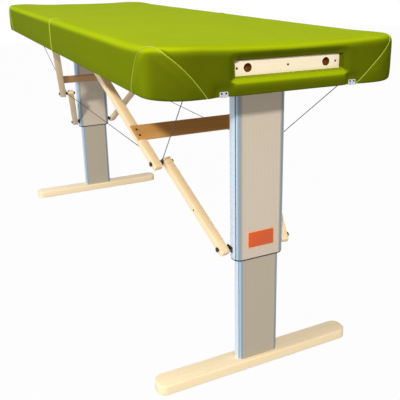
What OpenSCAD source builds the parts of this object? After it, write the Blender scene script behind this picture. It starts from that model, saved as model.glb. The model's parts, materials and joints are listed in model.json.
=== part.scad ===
// Portable electric massage table that folds at the middle like a suitcase.
// +X is the head end, the long axis. Z is up, from the floor at the table's middle.
// One half is drawn at the head end, and the foot half is its mirror image.

/* [Table] */
// Length over both padded ends
table_l = 1950; // [1800:10:2100]
// Width over the padded sides
table_w = 650; // [640:5:760]
// Height of the top with the lift fully raised
table_h = 900; // [880:5:960]
// Radius of the table's corners seen from above
corner_r = 90; // [60:5:120]
// Gap between the two halves at the middle
middle_gap = 1; // [1:0.5:4]

/* [Upholstery] */
// Height of the padded skirt from its lower edge to the crown
skirt_h = 107; // [107:1:125]
// Thickness of the vinyl with its padding on the sides
side_pad_t = 6.5; // [4:0.5:8]
// Thickness of the vinyl with its padding on the top
top_pad_t = 3.5; // [2.5:0.5:5]
// Radius of the soft upper edge
soft_edge_r = 28; // [20:1:36]
// Rise of the crown from the soft edge to the middle of the top
crown_rise = 3; // [1:0.5:5]
// How far the skirt draws in at its lower edge
draw_in = 5; // [0:0.5:6]
// Thickness of the foam on the deck
foam_t = 34.5; // [30:0.5:36]
// Running gap left round soft pieces
soft_gap = 0.4; // [0.3:0.1:0.6]

/* [Frame] */
// Thickness of the plywood deck
deck_t = 5; // [4:0.5:6]
// Thickness of the side rails and of the rail at the middle
rail_t = 20; // [16:1:22]
// Thickness of the rail at the end, which takes the headrest
end_rail_t = 30; // [26:1:34]
// Height of the rails' lower edge above the skirt's lower edge
rail_up = 2; // [1:0.5:4]

/* [Headrest socket] */
// Length of the pale board in the end of the table
board_l = 281; // [270:1:300]
// Height of the board
board_h = 35; // [34:1:37]
// Thickness of the board
board_t = 9; // [6:1:10]
// Depth of the board's face behind the padded end
board_deep = 20; // [18:1:24]
// Height of the board's middle above the skirt's lower edge
board_up = 57; // [55:1:59]
// Spacing of the two headrest holes
headrest_spacing = 204; // [190:1:220]
// Radius of each headrest hole
headrest_r = 10; // [8:0.5:12]

/* [Column] */
// Distance of each column's axis from the table's end
col_in = 158; // [145:1:175]
// Width of the outer profile across the table
outer_w = 145; // [135:1:155]
// Thickness of the outer profile along the table
outer_t = 48; // [46:1:50]
// Radius of the outer profile's corners
outer_r = 20; // [14:1:22]
// Wall of the outer profile
outer_wall = 3; // [2:0.5:3.5]
// Distance of the outer profile's lower end below the deck with the lift raised
outer_drop = 524; // [512:1:537]
// Thickness of the guide between the profiles on their narrow sides
guide_side_t = 8.5; // [7.5:0.5:14.5]
// Thickness of the guide between the profiles on their wide faces
guide_face_t = 2; // [2:0.5:4]
// Radius of the inner profile's corners
inner_r = 16; // [8:1:16]
// Wall of the inner profile
inner_wall = 2.5; // [2:0.5:3]
// Length of the inner profile that stays inside the outer one with the lift raised
overlap_l = 110; // [90:5:120]
// Travel of the lift
lift_travel = 280; // [260:5:280]
// Width and depth of a flute in the outer profile
flute_w = 2.4; // [1.5:0.1:3]

/* [Foot] */
// Width of the wooden foot beam along the table
foot_w = 60; // [54:1:64]
// Gap between the folded foot beam and each side rail
foot_gap = 3.1; // [3.1:5:18.1]
// Height of the foot beam
foot_h = 28; // [24:1:32]
// Radius of the foot beam's corners seen from above
foot_r = 24; // [16:1:26]
// Height of the rubber pads under the beam
pad_h = 2; // [2:0.5:4]

/* [Braces] */
// Width of every brace bar across the table
bar_w = 24; // [20:1:25]
// Thickness of every brace bar
bar_t = 19; // [17:1:20]
// Distance of the upper brace's pivot from the table's middle along the table
up_x = 205; // [195:5:215]
// Distance of the upper brace's pivot inside the side rail
brace_in = 21.1; // [19.1:1:23.1]
// Distance of the knee from the column's axis
knee_in = 242; // [232:5:252]
// Upper brace at the knee, across the table
knee_up_y = 184; // [180:1:188]
// Lower brace at the knee, across the table
knee_low_y = 150; // [148:1:150]
// Distance of the lower brace's stud from the column's axis
stud_in = 17; // [11:1:19]
// Height of the lower brace's stud above the outer profile's lower end
stud_up = 24; // [20:1:30]
// Gap between the column's side and the lower brace
stud_gap = 7.5; // [7:0.5:9]
// Radius of the brace bolts
bolt_r = 4; // [3:0.5:4.5]
// Height of the crossbar along the upper braces
cross_h = 52; // [40:1:54]
// Thickness of the crossbar
cross_t = 6; // [5:0.5:6]
// How far the crossbar stands out of the upper braces
cross_proud = 2; // [2:0.5:2.5]
// Share of the upper brace from its pivot to the crossbar's middle
cross_share = 0.78; // [0.7:0.005:0.78]

/* [Cables] */
// Diameter of the steel cables
cable_d = 2; // [1.5:0.5:3]
// Distance of the end cable's anchor from the table's end
anchor_in = 81; // [75:1:95]
// Distance of the end cable's anchor inside the corner block
anchor_side = 14; // [9:1:20]

/* [Hinge] */
// Distance of each centre hinge from the table's middle across the table
hinge_y = 200; // [180:5:230]
// Width of a centre hinge
hinge_w = 50; // [44:1:60]
// Radius of a hinge knuckle
knuckle_r = 6; // [5:0.5:6]
// Radius of a hinge pin
hinge_pin_r = 3; // [2.5:0.5:3]

/* [Electrics] */
// Size of the control box along, across and down
control_box = [150, 100, 42]; // [30:1:160]
// Diameter of the spindle
spindle_d = 12; // [10:1:14]
// Diameter of the gear motor
motor_d = 30; // [26:1:31]
// Length of the gear motor
motor_l = 84; // [70:1:85]

/* [Hidden] */

// Fineness of round shapes
$fn = 48;
// Overrun of every cut
cut = 1;
// Running clearance of a pin in its bore
fit = 0.05;
// Gap between faces that slide past each other
slip = 0.3;
// Gap between pieces that pass each other when the table folds
pass_gap = 3;
// Gap between the folded upper brace and the deck
brace_gap = 5;

// Colours
vinyl_colour = "#9FB310";
wood_colour = "#E9C48F";
ply_colour = "#F2DFC0";
alloy_colour = "#C8BAA8";
steel_colour = "#55585C";
bright_colour = "#D5D7DA";
dark_colour = "#2B2B2D";
foam_colour = "#F4EFD8";
orange_colour = "#E2681E";
rubber_colour = "#26211E";

// Levels of the padded half
skirt_z = table_h - skirt_h;
rail_z = skirt_z + rail_up;
foam_top_z = table_h - top_pad_t;
deck_top_z = foam_top_z - foam_t;
deck_z = deck_top_z - deck_t;
half_l = table_l / 2;
half_w = table_w / 2;
face_x = middle_gap / 2;
// Padding on the face at the middle, with its soft edge
face_pad_t = 2.5;
face_edge_r = 8;
frame_x = face_x + face_pad_t + soft_gap;
frame_in = side_pad_t + soft_gap;
rail_in_y = half_w - frame_in - rail_t;
end_rail_x = half_l - frame_in - end_rail_t;
// Column, feet, braces and anchors, from the padded outline and the rails
col_x = half_l - col_in;
outer_z = deck_z - outer_drop;
inner_w = outer_w - 2 * (outer_wall + guide_side_t);
inner_t = outer_t - 2 * (outer_wall + guide_face_t);
foot_l = 2 * (rail_in_y - foot_gap);
up_y = rail_in_y - brace_in;
knee_x = col_x - knee_in;
stud_x = col_x - stud_in;
anchor_x = half_l - anchor_in;
anchor_y = half_w - corner_r - anchor_side;

// Folding geometry in the side view, as [x, z]
up_z = deck_z - brace_gap - bar_t / 2;
stud_z = outer_z + stud_up;
stud_y = outer_w / 2 + stud_gap + bar_w / 2;
brace_slope = atan2(up_z - stud_z, stud_x - up_x);
upper_l = (knee_x - up_x) / cos(brace_slope);
lower_l = (stud_x - knee_x) / cos(brace_slope);
knee_z = up_z - upper_l * sin(brace_slope);
// Height of the column's axis once it lies under the deck
fold_z = up_z - bar_t / 2 - pass_gap - foot_w / 2;
folded_stud_z = fold_z + col_x - stud_x;
folded_stud_x = up_x + upper_l - sqrt(pow(lower_l, 2) - pow(up_z - folded_stud_z, 2));
pivot_x = (fold_z + col_x + folded_stud_x - stud_z) / 2;
pivot_z = (fold_z + col_x - folded_stud_x + stud_z) / 2;
hinge_z = fold_z - foot_w / 2 - pass_gap;
// Turns while the column turns by a right angle: upper brace, and lower brace about the knee
upper_turn = brace_slope;
knee_turn = 180 - atan2(up_z - folded_stud_z, up_x + upper_l - folded_stud_x);

// Bars beyond their upper and lower bolts, and the rounding of their corners
bar_top_end = 13;
bar_end = 18;
bar_r = 5;
washer_r = 8;
washer_t = 1.5;
bolt_head_r = 6.5;
bolt_head_t = 3;

// How the braces lean inwards in plan, and the room that a face beside a leaning bar needs
up_lean = atan((up_y - knee_up_y) / (knee_x - up_x));
low_lean = atan((knee_low_y - stud_y) / (stud_x - knee_x));
function beside(r, lean) = bar_w / 2 / cos(lean) + r * tan(lean) + slip;

// Column pivot
pivot_r = 6;
pivot_boss_r = 12;
ear_t = 5;
ear_gap = 1.2;
ear_w = 46;
plate_t = 5;
plate_wing = 26;
cap_up = 20;
cap_t = 8;
tube_end = 18;

// Guide, lift tube and nut
guide_l = 60;
guide_lip = 4;
nut_d = 26;
nut_l = 28;
lift_tube_wall = 3;
spindle_gap = 0.6;

// Feet
pad_l = 90;
pad_in = 30;
foot_plate_t = 3;

// Flutes on the wide faces, as shares of the flat width from the axis
flute_shares = [0.94, 0.985];

// Headrest board
pocket_gap = 1.5;
pocket_slack = 1;
board_screw_r = 3.5;
board_screw_share = 0.915;
screw_head_t = 1;
board_z = skirt_z + board_up;
board_x = half_l - board_deep;

// Catch plates for the case locks
catch_size = [3, 21, 13];
catch_y = 167.5;
catch_z = skirt_z + catch_size[2] / 2;
catch_tongue = 2;

// Label plate on the column
label_size = [1.2, 78, 46];
label_up = 52;
label_z = outer_z + label_up;

// Centre hinge
leaf_t = 4;
leaf_x = 24;
web_t = 6;

// Control box and sockets
box_before = 91;
box_x = col_x - box_before;
box_y = outer_w / 2 + ear_gap + ear_t + plate_wing + pass_gap;
socket_r = 8;
socket_l = 9;
socket_hole_r = 5;

// Cable ends
eye_r = 9;
eye_t = 2;
anchor_rod_r = 3;
knee_mid_y = (knee_up_y + knee_low_y) / 2;

echo(pivot = [pivot_x, pivot_z], knee = [knee_x, knee_z], upper = [up_x, up_z],
    stud = [stud_x, stud_y, stud_z], hinge_z = hinge_z, upper_turn = upper_turn,
    knee_turn = knee_turn, folded_foot_x = pivot_x - pivot_z);

// A rectangle with round corners, centred
module round_rect(size, r) {
    square([size[0] - 2 * r, size[1]], center = true);
    square([size[0], size[1] - 2 * r], center = true);
    for (sx = [-1, 1], sy = [-1, 1])
        translate([sx * (size[0] / 2 - r), sy * (size[1] / 2 - r)]) circle(r);
}

// A cylinder along Y from y0 to y1 at a place in the side view
module rod_y(at, y0, y1, r) {
    translate([at[0], y1, at[1]]) rotate([90, 0, 0]) cylinder(h = y1 - y0, r = r);
}

// Points round the half table, drawn in by d, with the face at the middle at x0
corner_steps = 8;
function half_ring(d, x0, z) = let (r = corner_r - d, cx = half_l - corner_r, cy = half_w - corner_r)
    concat(
        [[x0, -half_w + d, z]],
        [for (i = [0:corner_steps]) let (a = -90 + 90 * i / corner_steps)
            [cx + r * cos(a), -cy + r * sin(a), z]],
        [for (i = [0:corner_steps]) let (a = 90 * i / corner_steps)
            [cx + r * cos(a), cy + r * sin(a), z]],
        [[x0, half_w - d, z]]);

// A closed solid through rings that lie one above the other
module ring_solid(rings) {
    n = len(rings[0]);
    m = len(rings);
    points = [for (r = rings) for (p = r) p];
    low = [(rings[0][0][0] + half_l) / 2, 0, rings[0][0][2]];
    top = [(rings[m - 1][0][0] + half_l) / 2, 0, rings[m - 1][0][2]];
    sides = [for (k = [0:m - 2], i = [0:n - 1]) let (a = k * n + i, b = k * n + (i + 1) % n)
        each [[a, a + n, b], [b, a + n, b + n]]];
    lids = [for (i = [0:n - 1]) let (j = (i + 1) % n)
        each [[i, j, n * m], [(m - 1) * n + j, (m - 1) * n + i, n * m + 1]]];
    polyhedron(concat(points, [low, top]), concat(sides, lids), convexity = 4);
}

// The soft form of one half: sides drawn in below, a round upper edge and a crown
edge_steps = 5;
crown_shares = [0.45, 1];
function soft_rings(side_in, face_in, z0, z1, edge, draw) = let (x0 = face_x + face_in)
    concat(
        [half_ring(side_in + draw, x0, z0),
         half_ring(side_in + draw / 4, x0, z0 + 2 * draw + cut)],
        [for (i = [0:edge_steps]) let (a = 90 * i / edge_steps)
            half_ring(side_in + edge * (1 - cos(a)), x0 + face_edge_r * (1 - cos(a)),
                z1 - crown_rise - edge * (1 - sin(a)))],
        [for (s = crown_shares)
            half_ring(side_in + edge + soft_edge_r * s, x0 + face_edge_r * (1 + s),
                z1 - crown_rise * (1 - s))]);

module soft_form(side_in, face_in, z0, z1, edge, draw) {
    ring_solid(soft_rings(side_in, face_in, z0, z1, edge, draw));
}

// The space inside the cover
module inside_form(more) {
    soft_form(side_pad_t + more, face_pad_t + more, skirt_z - cut, foam_top_z - more,
        soft_edge_r - side_pad_t, 0);
}

// Plan of one half, drawn in by d, with true round corners
module half_plan(d, x0) {
    r = corner_r - d;
    translate([x0, -half_w + corner_r]) square([half_l - d - x0, table_w - 2 * corner_r]);
    translate([x0, -half_w + d]) square([half_l - corner_r - x0, table_w - 2 * d]);
    for (sy = [-1, 1]) translate([half_l - corner_r, sy * (half_w - corner_r)]) circle(r, $fn = 96);
}

// The pocket for the headrest board, open to the end and some way behind the board's face
module board_pocket(behind) {
    translate([board_x - behind, -board_l / 2 - pocket_gap, board_z - board_h / 2 - pocket_gap])
        cube([half_l, board_l + 2 * pocket_gap, board_h + 2 * pocket_gap]);
}

module catch_places() {
    for (sy = [-1, 1]) translate([half_l - frame_in, sy * catch_y, catch_z]) children();
}

module cover(end_fittings) {
    color(vinyl_colour) difference() {
        soft_form(0, 0, skirt_z, table_h, soft_edge_r, draw_in);
        inside_form(0);
        if (end_fittings) {
            board_pocket(pocket_gap);
            catch_places() translate([0, -catch_size[1] / 2 - pocket_gap, -catch_size[2]])
                cube([half_l, catch_size[1] + 2 * pocket_gap, catch_size[2] * 3 / 2 + pocket_gap]);
        }
    }
}

module foam(end_fittings) {
    color(foam_colour) difference() {
        inside_form(soft_gap);
        translate([0, -table_w, -table_h]) cube([table_l, 2 * table_w, table_h + deck_top_z]);
        if (end_fittings) board_pocket(board_t + pocket_slack);
    }
}

module deck(end_fittings) {
    color(ply_colour) difference() {
        translate([0, 0, deck_z]) linear_extrude(deck_t) half_plan(frame_in, frame_x);
        if (end_fittings) {
            board_pocket(board_t);
            headrest_bores();
        }
    }
}

// The straight side rail between the centre rail and the corner
module side_rail(side) {
    color(ply_colour)
        translate([frame_x + rail_t, side > 0 ? rail_in_y : -rail_in_y - rail_t, rail_z])
            cube([half_l - corner_r - frame_x - rail_t, rail_t, deck_z - rail_z]);
}

module centre_rail() {
    color(ply_colour) translate([frame_x, -half_w + frame_in, rail_z])
        cube([rail_t, table_w - 2 * frame_in, deck_z - rail_z]);
}

// The end rail with its two round corner blocks, bored for a headrest at the head end
module end_rail(bored) {
    corner_x = half_l - corner_r;
    corner_y = half_w - corner_r;
    color(ply_colour) difference() {
        union() {
            translate([end_rail_x, -corner_y, rail_z])
                cube([end_rail_t, 2 * corner_y, deck_z - rail_z]);
            for (sy = [-1, 1]) translate([corner_x, sy * corner_y, rail_z])
                linear_extrude(deck_z - rail_z) intersection() {
                    difference() {
                        circle(corner_r - frame_in, $fn = 96);
                        circle(corner_r - frame_in - rail_t, $fn = 96);
                    }
                    translate([0, sy > 0 ? 0 : -corner_r]) square(corner_r);
                }
        }
        if (bored) {
            board_pocket(board_t);
            headrest_bores();
        }
    }
}

module headrest_bores() {
    for (sy = [-1, 1]) translate([end_rail_x - cut, sy * headrest_spacing / 2, board_z])
        rotate([0, 90, 0]) cylinder(h = end_rail_t + 2 * cut, r = headrest_r);
}

module headrest_board() {
    color(ply_colour) difference() {
        translate([board_x - board_t, -board_l / 2, board_z - board_h / 2])
            cube([board_t, board_l, board_h]);
        headrest_bores();
        screw_places() cylinder(h = board_t, r = board_screw_r + fit, center = true);
    }
}

// Three screws along the board, with their axes along X
module screw_places() {
    for (s = [-1, 0, 1])
        translate([board_x, s * board_screw_share * board_l / 2, board_z]) rotate([0, 90, 0]) children();
}

module headrest_screws() {
    color(steel_colour) screw_places() translate([0, 0, -board_t / 2]) difference() {
        cylinder(h = board_t / 2, r = board_screw_r);
        translate([0, 0, board_t / 2 - screw_head_t])
            cylinder(h = screw_head_t + cut, r = board_screw_r / 2, $fn = 6);
    }
}

module catch_plates() {
    color(bright_colour) catch_places() difference() {
        union() {
            translate([0, -catch_size[1] / 2, -catch_size[2] / 2]) cube(catch_size);
            translate([catch_size[0], -catch_size[1] / 4, -catch_size[2] / 2])
                cube([catch_tongue, catch_size[1] / 2, catch_size[2] / 3]);
        }
        for (sy = [-1, 1]) translate([catch_size[0] - screw_head_t, sy * catch_size[1] / 4, catch_size[2] / 5])
            rotate([0, 90, 0]) cylinder(h = screw_head_t + cut, r = board_screw_r / 2);
    }
}

// The steel bracket under the deck, with the pivot pin of the column
module column_bracket() {
    ear_y = outer_w / 2 + ear_gap;
    low_z = pivot_z - pivot_boss_r;
    color(steel_colour) difference() {
        union() {
            translate([pivot_x - ear_w / 2, -ear_y - ear_t - plate_wing, deck_z - plate_t])
                cube([ear_w, 2 * (ear_y + ear_t + plate_wing), plate_t]);
            for (sy = [-1, 1]) translate([0, sy * (ear_y + ear_t / 2), 0]) {
                translate([pivot_x - pivot_boss_r, -ear_t / 2, pivot_z])
                    cube([2 * pivot_boss_r, ear_t, deck_z - pivot_z]);
                rod_y([pivot_x, pivot_z], -ear_t / 2, ear_t / 2, pivot_boss_r);
            }
        }
        rod_y([pivot_x, pivot_z], -half_w, half_w, pivot_r + fit);
    }
    color(bright_colour) {
        rod_y([pivot_x, pivot_z], -ear_y - ear_t, ear_y + ear_t, pivot_r);
        for (sy = [-1, 1]) translate([0, sy * (ear_y + ear_t + bolt_head_t / 2), 0])
            rod_y([pivot_x, pivot_z], -bolt_head_t / 2, bolt_head_t / 2, pivot_r + bolt_head_t);
    }
}

// Cross-section of the outer profile with its flutes
module outer_section() {
    flat = outer_w / 2 - outer_r;
    difference() {
        round_rect([outer_t, outer_w], outer_r);
        for (sx = [-1, 1], sy = [-1, 1], s = flute_shares)
            translate([sx * outer_t / 2, sy * flat * s]) circle(flute_w / 2, $fn = 16);
    }
}

module outer_hollow() {
    round_rect([outer_t - 2 * outer_wall, outer_w - 2 * outer_wall], outer_r - outer_wall);
}

module outer_profile() {
    color(alloy_colour)
        translate([col_x, 0, outer_z]) linear_extrude(pivot_z - tube_end - outer_z) difference() {
            outer_section();
            outer_hollow();
        }
}

// The cast cap that closes the profile and turns on the pin
module top_cap() {
    base_z = pivot_z - tube_end;
    color(steel_colour) difference() {
        union() {
            translate([col_x, 0, base_z]) linear_extrude(tube_end + cap_up - cap_t)
                round_rect([outer_t, outer_w], outer_r);
            translate([col_x, 0, base_z - cap_t]) linear_extrude(cap_t)
                offset_hollow();
        }
        rod_y([pivot_x, pivot_z], -half_w, half_w, pivot_r + fit);
    }
}

module offset_hollow() {
    round_rect([outer_t - 2 * outer_wall - 2 * slip, outer_w - 2 * outer_wall - 2 * slip],
        outer_r - outer_wall);
}

// The tube from the cap down to the nut, in which the spindle runs
module lift_tube() {
    inner_top = outer_z + overlap_l;
    nut_z = inner_top - nut_l;
    tube_d = spindle_d + 2 * spindle_gap + 2 * lift_tube_wall;
    color(bright_colour) translate([col_x, 0, 0]) difference() {
        union() {
            translate([0, 0, nut_z]) cylinder(h = pivot_z - tube_end - cap_t - nut_z, d = tube_d);
            translate([0, 0, nut_z]) cylinder(h = nut_l, d = nut_d);
        }
        translate([0, 0, nut_z - cut]) cylinder(h = nut_l + 2 * cut, d = spindle_d + 2 * fit);
        translate([0, 0, nut_z + nut_l])
            cylinder(h = pivot_z - nut_z - nut_l, d = spindle_d + 2 * spindle_gap);
    }
}

// The plastic bush in the lower end of the outer profile
module guide_bush() {
    color(dark_colour) translate([col_x, 0, 0]) difference() {
        union() {
            translate([0, 0, outer_z]) linear_extrude(guide_l) offset_hollow();
            translate([0, 0, outer_z - guide_lip]) linear_extrude(guide_lip)
                round_rect([outer_t - outer_wall, outer_w - outer_wall], outer_r - outer_wall / 2);
        }
        translate([0, 0, outer_z - guide_lip - cut]) linear_extrude(guide_l + guide_lip + 2 * cut)
            round_rect([inner_t + 2 * slip, inner_w + 2 * slip], inner_r + slip);
    }
}

// Steel shoes on the column's sides, on which the studs of the lower braces bear
module brace_shoes() {
    shoe_x0 = stud_x - bolt_head_r;
    shoe_x1 = col_x + outer_t / 2 - outer_r;
    face_y = outer_w / 2;
    color(steel_colour) for (sy = [-1, 1]) difference() {
        translate([shoe_x0, sy > 0 ? face_y : -face_y - washer_t, stud_z - washer_r])
            cube([shoe_x1 - shoe_x0, washer_t, 2 * washer_r]);
        translate([col_x, 0, 0]) linear_extrude(table_h) round_rect([outer_t, outer_w], outer_r);
    }
}

module inner_profile() {
    base_z = pad_h + foot_h;
    color(alloy_colour) translate([col_x, 0, base_z])
        linear_extrude(outer_z + overlap_l - base_z) difference() {
            round_rect([inner_t, inner_w], inner_r);
            round_rect([inner_t - 2 * inner_wall, inner_w - 2 * inner_wall], inner_r - inner_wall);
        }
    color(steel_colour) translate([col_x, 0, base_z]) linear_extrude(foot_plate_t)
        round_rect([inner_t - 2 * inner_wall - 2 * slip, inner_w - 2 * inner_wall - 2 * slip],
            inner_r - inner_wall);
}

module motor() {
    color(dark_colour) translate([col_x, 0, pad_h + foot_h + foot_plate_t]) {
        cylinder(h = motor_l, d = motor_d);
        translate([0, 0, motor_l / 2])
            cube([motor_d, 2 * motor_d, motor_l / 4], center = true);
    }
}

module spindle() {
    z0 = pad_h + foot_h + foot_plate_t + motor_l;
    z1 = outer_z + overlap_l;
    color(bright_colour) translate([col_x, 0, z0]) {
        cylinder(h = z1 - z0, d = spindle_d);
        cylinder(h = spindle_d / 2, d = motor_d * 3 / 4);
    }
}

module foot_beam() {
    color(wood_colour) translate([col_x, 0, pad_h]) linear_extrude(foot_h)
        round_rect([foot_w, foot_l], foot_r);
}

module foot_pads() {
    color(rubber_colour) for (sy = [-1, 1])
        translate([col_x, sy * (foot_l / 2 - pad_in - pad_l / 2), 0]) linear_extrude(pad_h)
            round_rect([foot_w - pad_in / 2, pad_l], foot_r / 2);
}

// A brace bar from a to b, with its corners rounded in the side view
module bar(a, b) {
    run = b - a;
    flat = norm([run[0], run[1]]);
    long = norm(run);
    translate(a) rotate([0, -atan2(run[2], flat), atan2(run[1], run[0])])
        translate([(long + bar_end - bar_top_end) / 2, bar_w / 2, 0]) rotate([90, 0, 0]) linear_extrude(bar_w)
            round_rect([long + bar_top_end + bar_end, bar_t], bar_r);
}

module upper_brace() {
    a = [up_x, -up_y, up_z];
    b = [knee_x, -knee_up_y, knee_z];
    out_y = knee_up_y + beside(bolt_head_r, up_lean);
    in_y = knee_low_y - beside(bolt_head_r, low_lean);
    color(wood_colour) difference() {
        bar(a, b);
        rod_y([up_x, up_z], -half_w, half_w, bolt_r + fit);
        rod_y([knee_x, knee_z], -half_w, half_w, bolt_r + fit);
        cross_notch();
    }
    // Knee bolt through both braces, with the eye for the cables between them
    color(steel_colour) right_side() {
        rod_y([knee_x, knee_z], in_y - bolt_head_t, out_y + bolt_head_t, bolt_r);
        rod_y([knee_x, knee_z], out_y, out_y + bolt_head_t, bolt_head_r);
        rod_y([knee_x, knee_z], in_y - bolt_head_t, in_y, bolt_head_r);
        rod_y([knee_x, knee_z], knee_mid_y - eye_t / 2, knee_mid_y + eye_t / 2, eye_r);
    }
}

// The crossbar's place: its lower face on the upper braces' slope, in the middle of its height
module cross_place() {
    translate([up_x, 0, up_z] + cross_share * upper_l * [cos(brace_slope), 0, -sin(brace_slope)])
        rotate([0, brace_slope, 0]) translate([0, 0, bar_t / 2 + cross_proud - cross_t]) children();
}

// Half the distance over the upper braces' outer faces, d down the slope from the crossbar's middle
function cross_y(d) =
    up_y + (knee_up_y - up_y) * (cross_share + d / upper_l) + bar_w / 2 / cos(up_lean);

module cross_notch() {
    cross_place() translate([-cross_h / 2, -half_w, 0]) cube([cross_h, table_w, cross_t + cut]);
}

module crossbar() {
    d = cross_h / 2;
    color(wood_colour) difference() {
        cross_place() linear_extrude(cross_t)
            polygon([[-d, -cross_y(-d)], [d, -cross_y(d)], [d, cross_y(d)], [-d, cross_y(-d)]]);
        cross_screws(board_screw_r + fit, cut);
    }
    color(steel_colour) cross_screws(board_screw_r, 0);
}

// Two screw heads at each end of the crossbar, let into its face
module cross_screws(r, over) {
    for (sy = [-1, 1], s = [-1, 1]) let (d = s * cross_h / 5)
        cross_place() translate([d, sy * (cross_y(d) - bar_w / 2), cross_t - screw_head_t])
            cylinder(h = screw_head_t + over, r = r);
}

module lower_brace() {
    a = [knee_x, -knee_low_y, knee_z];
    b = [stud_x, -stud_y, stud_z];
    seat_y = outer_w / 2 + washer_t + slip;
    in_y = stud_y - beside(bolt_head_r, low_lean);
    out_y = stud_y + beside(bolt_head_r, low_lean);
    color(wood_colour) difference() {
        bar(a, b);
        rod_y([stud_x, stud_z], -half_w, half_w, bolt_r + fit);
        rod_y([knee_x, knee_z], -half_w, half_w, bolt_r + fit);
    }
    // Stud with its spacer and head, up to the shoe on the column
    color(steel_colour) right_side() {
        rod_y([stud_x, stud_z], seat_y, out_y, bolt_r);
        rod_y([stud_x, stud_z], seat_y, in_y, bolt_head_r);
        rod_y([stud_x, stud_z], out_y, out_y + bolt_head_t, bolt_head_r);
    }
}

// Steel angles under the deck, with the bolts of the upper braces
module brace_brackets() {
    plate_y = up_y + beside(bar_top_end, up_lean);
    head_y = up_y - beside(bolt_head_r, up_lean);
    color(steel_colour) for (sy = [-1, 1]) mirror([0, sy < 0 ? 1 : 0, 0]) {
        difference() {
            translate([up_x - ear_w / 2, plate_y, up_z - bar_t / 2])
                cube([ear_w, rail_in_y - plate_y, deck_z - up_z + bar_t / 2]);
            rod_y([up_x, up_z], 0, half_w, bolt_r + fit);
        }
        rod_y([up_x, up_z], head_y, rail_in_y, bolt_r);
        rod_y([up_x, up_z], head_y - bolt_head_t, head_y, bolt_head_r);
    }
}

// A straight cable between two places, as a tube with flat sides
cable_sides = 8;
module cable(a, b) {
    run = b - a;
    points = [for (p = [a, b]) for (i = [0:cable_sides - 1])
        let (t = 360 * i / cable_sides, u = [-run[1], run[0], 0] / norm([run[0], run[1]]),
            v = cross(run, u) / norm(cross(run, u)))
        p + cable_d / 2 * (cos(t) * u + sin(t) * v)];
    n = cable_sides;
    sides = [for (i = [0:n - 1]) let (j = (i + 1) % n) each [[i, i + n, j], [j, i + n, j + n]]];
    lids = [for (i = [1:n - 2]) each [[0, i, i + 1], [n, n + i + 1, n + i]]];
    polyhedron(points, concat(sides, lids));
}

// End cables from the anchors in the frame to the knees, with the anchors
anchor_z = rail_z + anchor_rod_r + pass_gap;
module end_cables() {
    for (sy = [-1, 1]) {
        eye = [knee_x, sy * knee_mid_y, knee_z];
        hook = [anchor_x, sy * anchor_y, anchor_z];
        along = (hook - eye) / norm(hook - eye);
        color(steel_colour) cable(eye + (eye_r + slip) * along, hook - (anchor_rod_r + slip) * along);
    }
}

module cable_anchors() {
    color(steel_colour) for (sy = [-1, 1]) translate([0, sy * anchor_y, anchor_z]) {
        translate([anchor_x, 0, 0]) rotate([0, 90, 0])
            cylinder(h = end_rail_x - anchor_x, r = anchor_rod_r);
        translate([end_rail_x - leaf_t, 0, 0]) rotate([0, 90, 0])
            cylinder(h = leaf_t, r = washer_r / 2 + anchor_rod_r);
    }
}

module knee_cables() {
    reach = [knee_x - eye_r - slip, 0, 0];
    color(steel_colour) for (sy = [-1, 1])
        cable([0, sy * knee_mid_y, knee_z] - reach, [0, sy * knee_mid_y, knee_z] + reach);
}

// A centre hinge leaf: a plate under the centre rail and knuckles round the pin
module hinge_leaf(spans) {
    plate_z = rail_z - leaf_t;
    for (sy = [-1, 1]) translate([0, sy * hinge_y, 0]) {
        translate([frame_x, -hinge_w / 2, plate_z]) cube([leaf_x, hinge_w, leaf_t]);
        for (s = spans) difference() {
            union() {
                rod_y([0, hinge_z], s[0], s[1], knuckle_r);
                translate([frame_x, s[0], hinge_z]) cube([web_t, s[1] - s[0], rail_z - hinge_z - leaf_t]);
                translate([0, s[0], hinge_z - knuckle_r]) cube([frame_x + web_t, s[1] - s[0], knuckle_r]);
            }
            rod_y([0, hinge_z], -hinge_w, hinge_w, hinge_pin_r + fit);
        }
    }
}

knuckle_l = (hinge_w - 2 * slip) / 3;
outer_spans = [[-hinge_w / 2, -hinge_w / 2 + knuckle_l], [hinge_w / 2 - knuckle_l, hinge_w / 2]];
middle_spans = [[-knuckle_l / 2, knuckle_l / 2]];

module head_hinge_leaves() {
    color(bright_colour) hinge_leaf(outer_spans);
}

module foot_hinge_leaves() {
    color(bright_colour) mirror([1, 0, 0]) hinge_leaf(middle_spans);
}

module hinge_pins() {
    color(steel_colour) for (sy = [-1, 1]) translate([0, sy * hinge_y, 0])
        rod_y([0, hinge_z], -hinge_w / 2, hinge_w / 2, hinge_pin_r);
}

module control_case() {
    color(dark_colour) difference() {
        translate([box_x, box_y, deck_z - control_box[2]]) cube(control_box);
        socket_places() cylinder(h = 2 * socket_l, r = socket_r + fit, center = true);
    }
}

// Places of the handset sockets in the side of the control box, axis along -X
module socket_places() {
    for (s = [-1, 1])
        translate([box_x, box_y + control_box[1] * (2 + s) / 4, deck_z - control_box[2] / 2])
            rotate([0, 90, 0]) children();
}

module handset_socket() {
    color(bright_colour) socket_places() difference() {
        cylinder(h = socket_l, r = socket_r);
        translate([0, 0, -cut]) cylinder(h = socket_l, r = socket_hole_r);
    }
}

module label_plate() {
    color(orange_colour) translate([col_x + outer_t / 2, -label_size[1] / 2, label_z - label_size[2] / 2])
        cube(label_size);
}

module foot_end() {
    mirror([1, 0, 0]) children();
}
module right_side() {
    mirror([0, 1, 0]) children();
}

module frame_brackets() {
    brace_brackets();
    cable_anchors();
}

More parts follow.
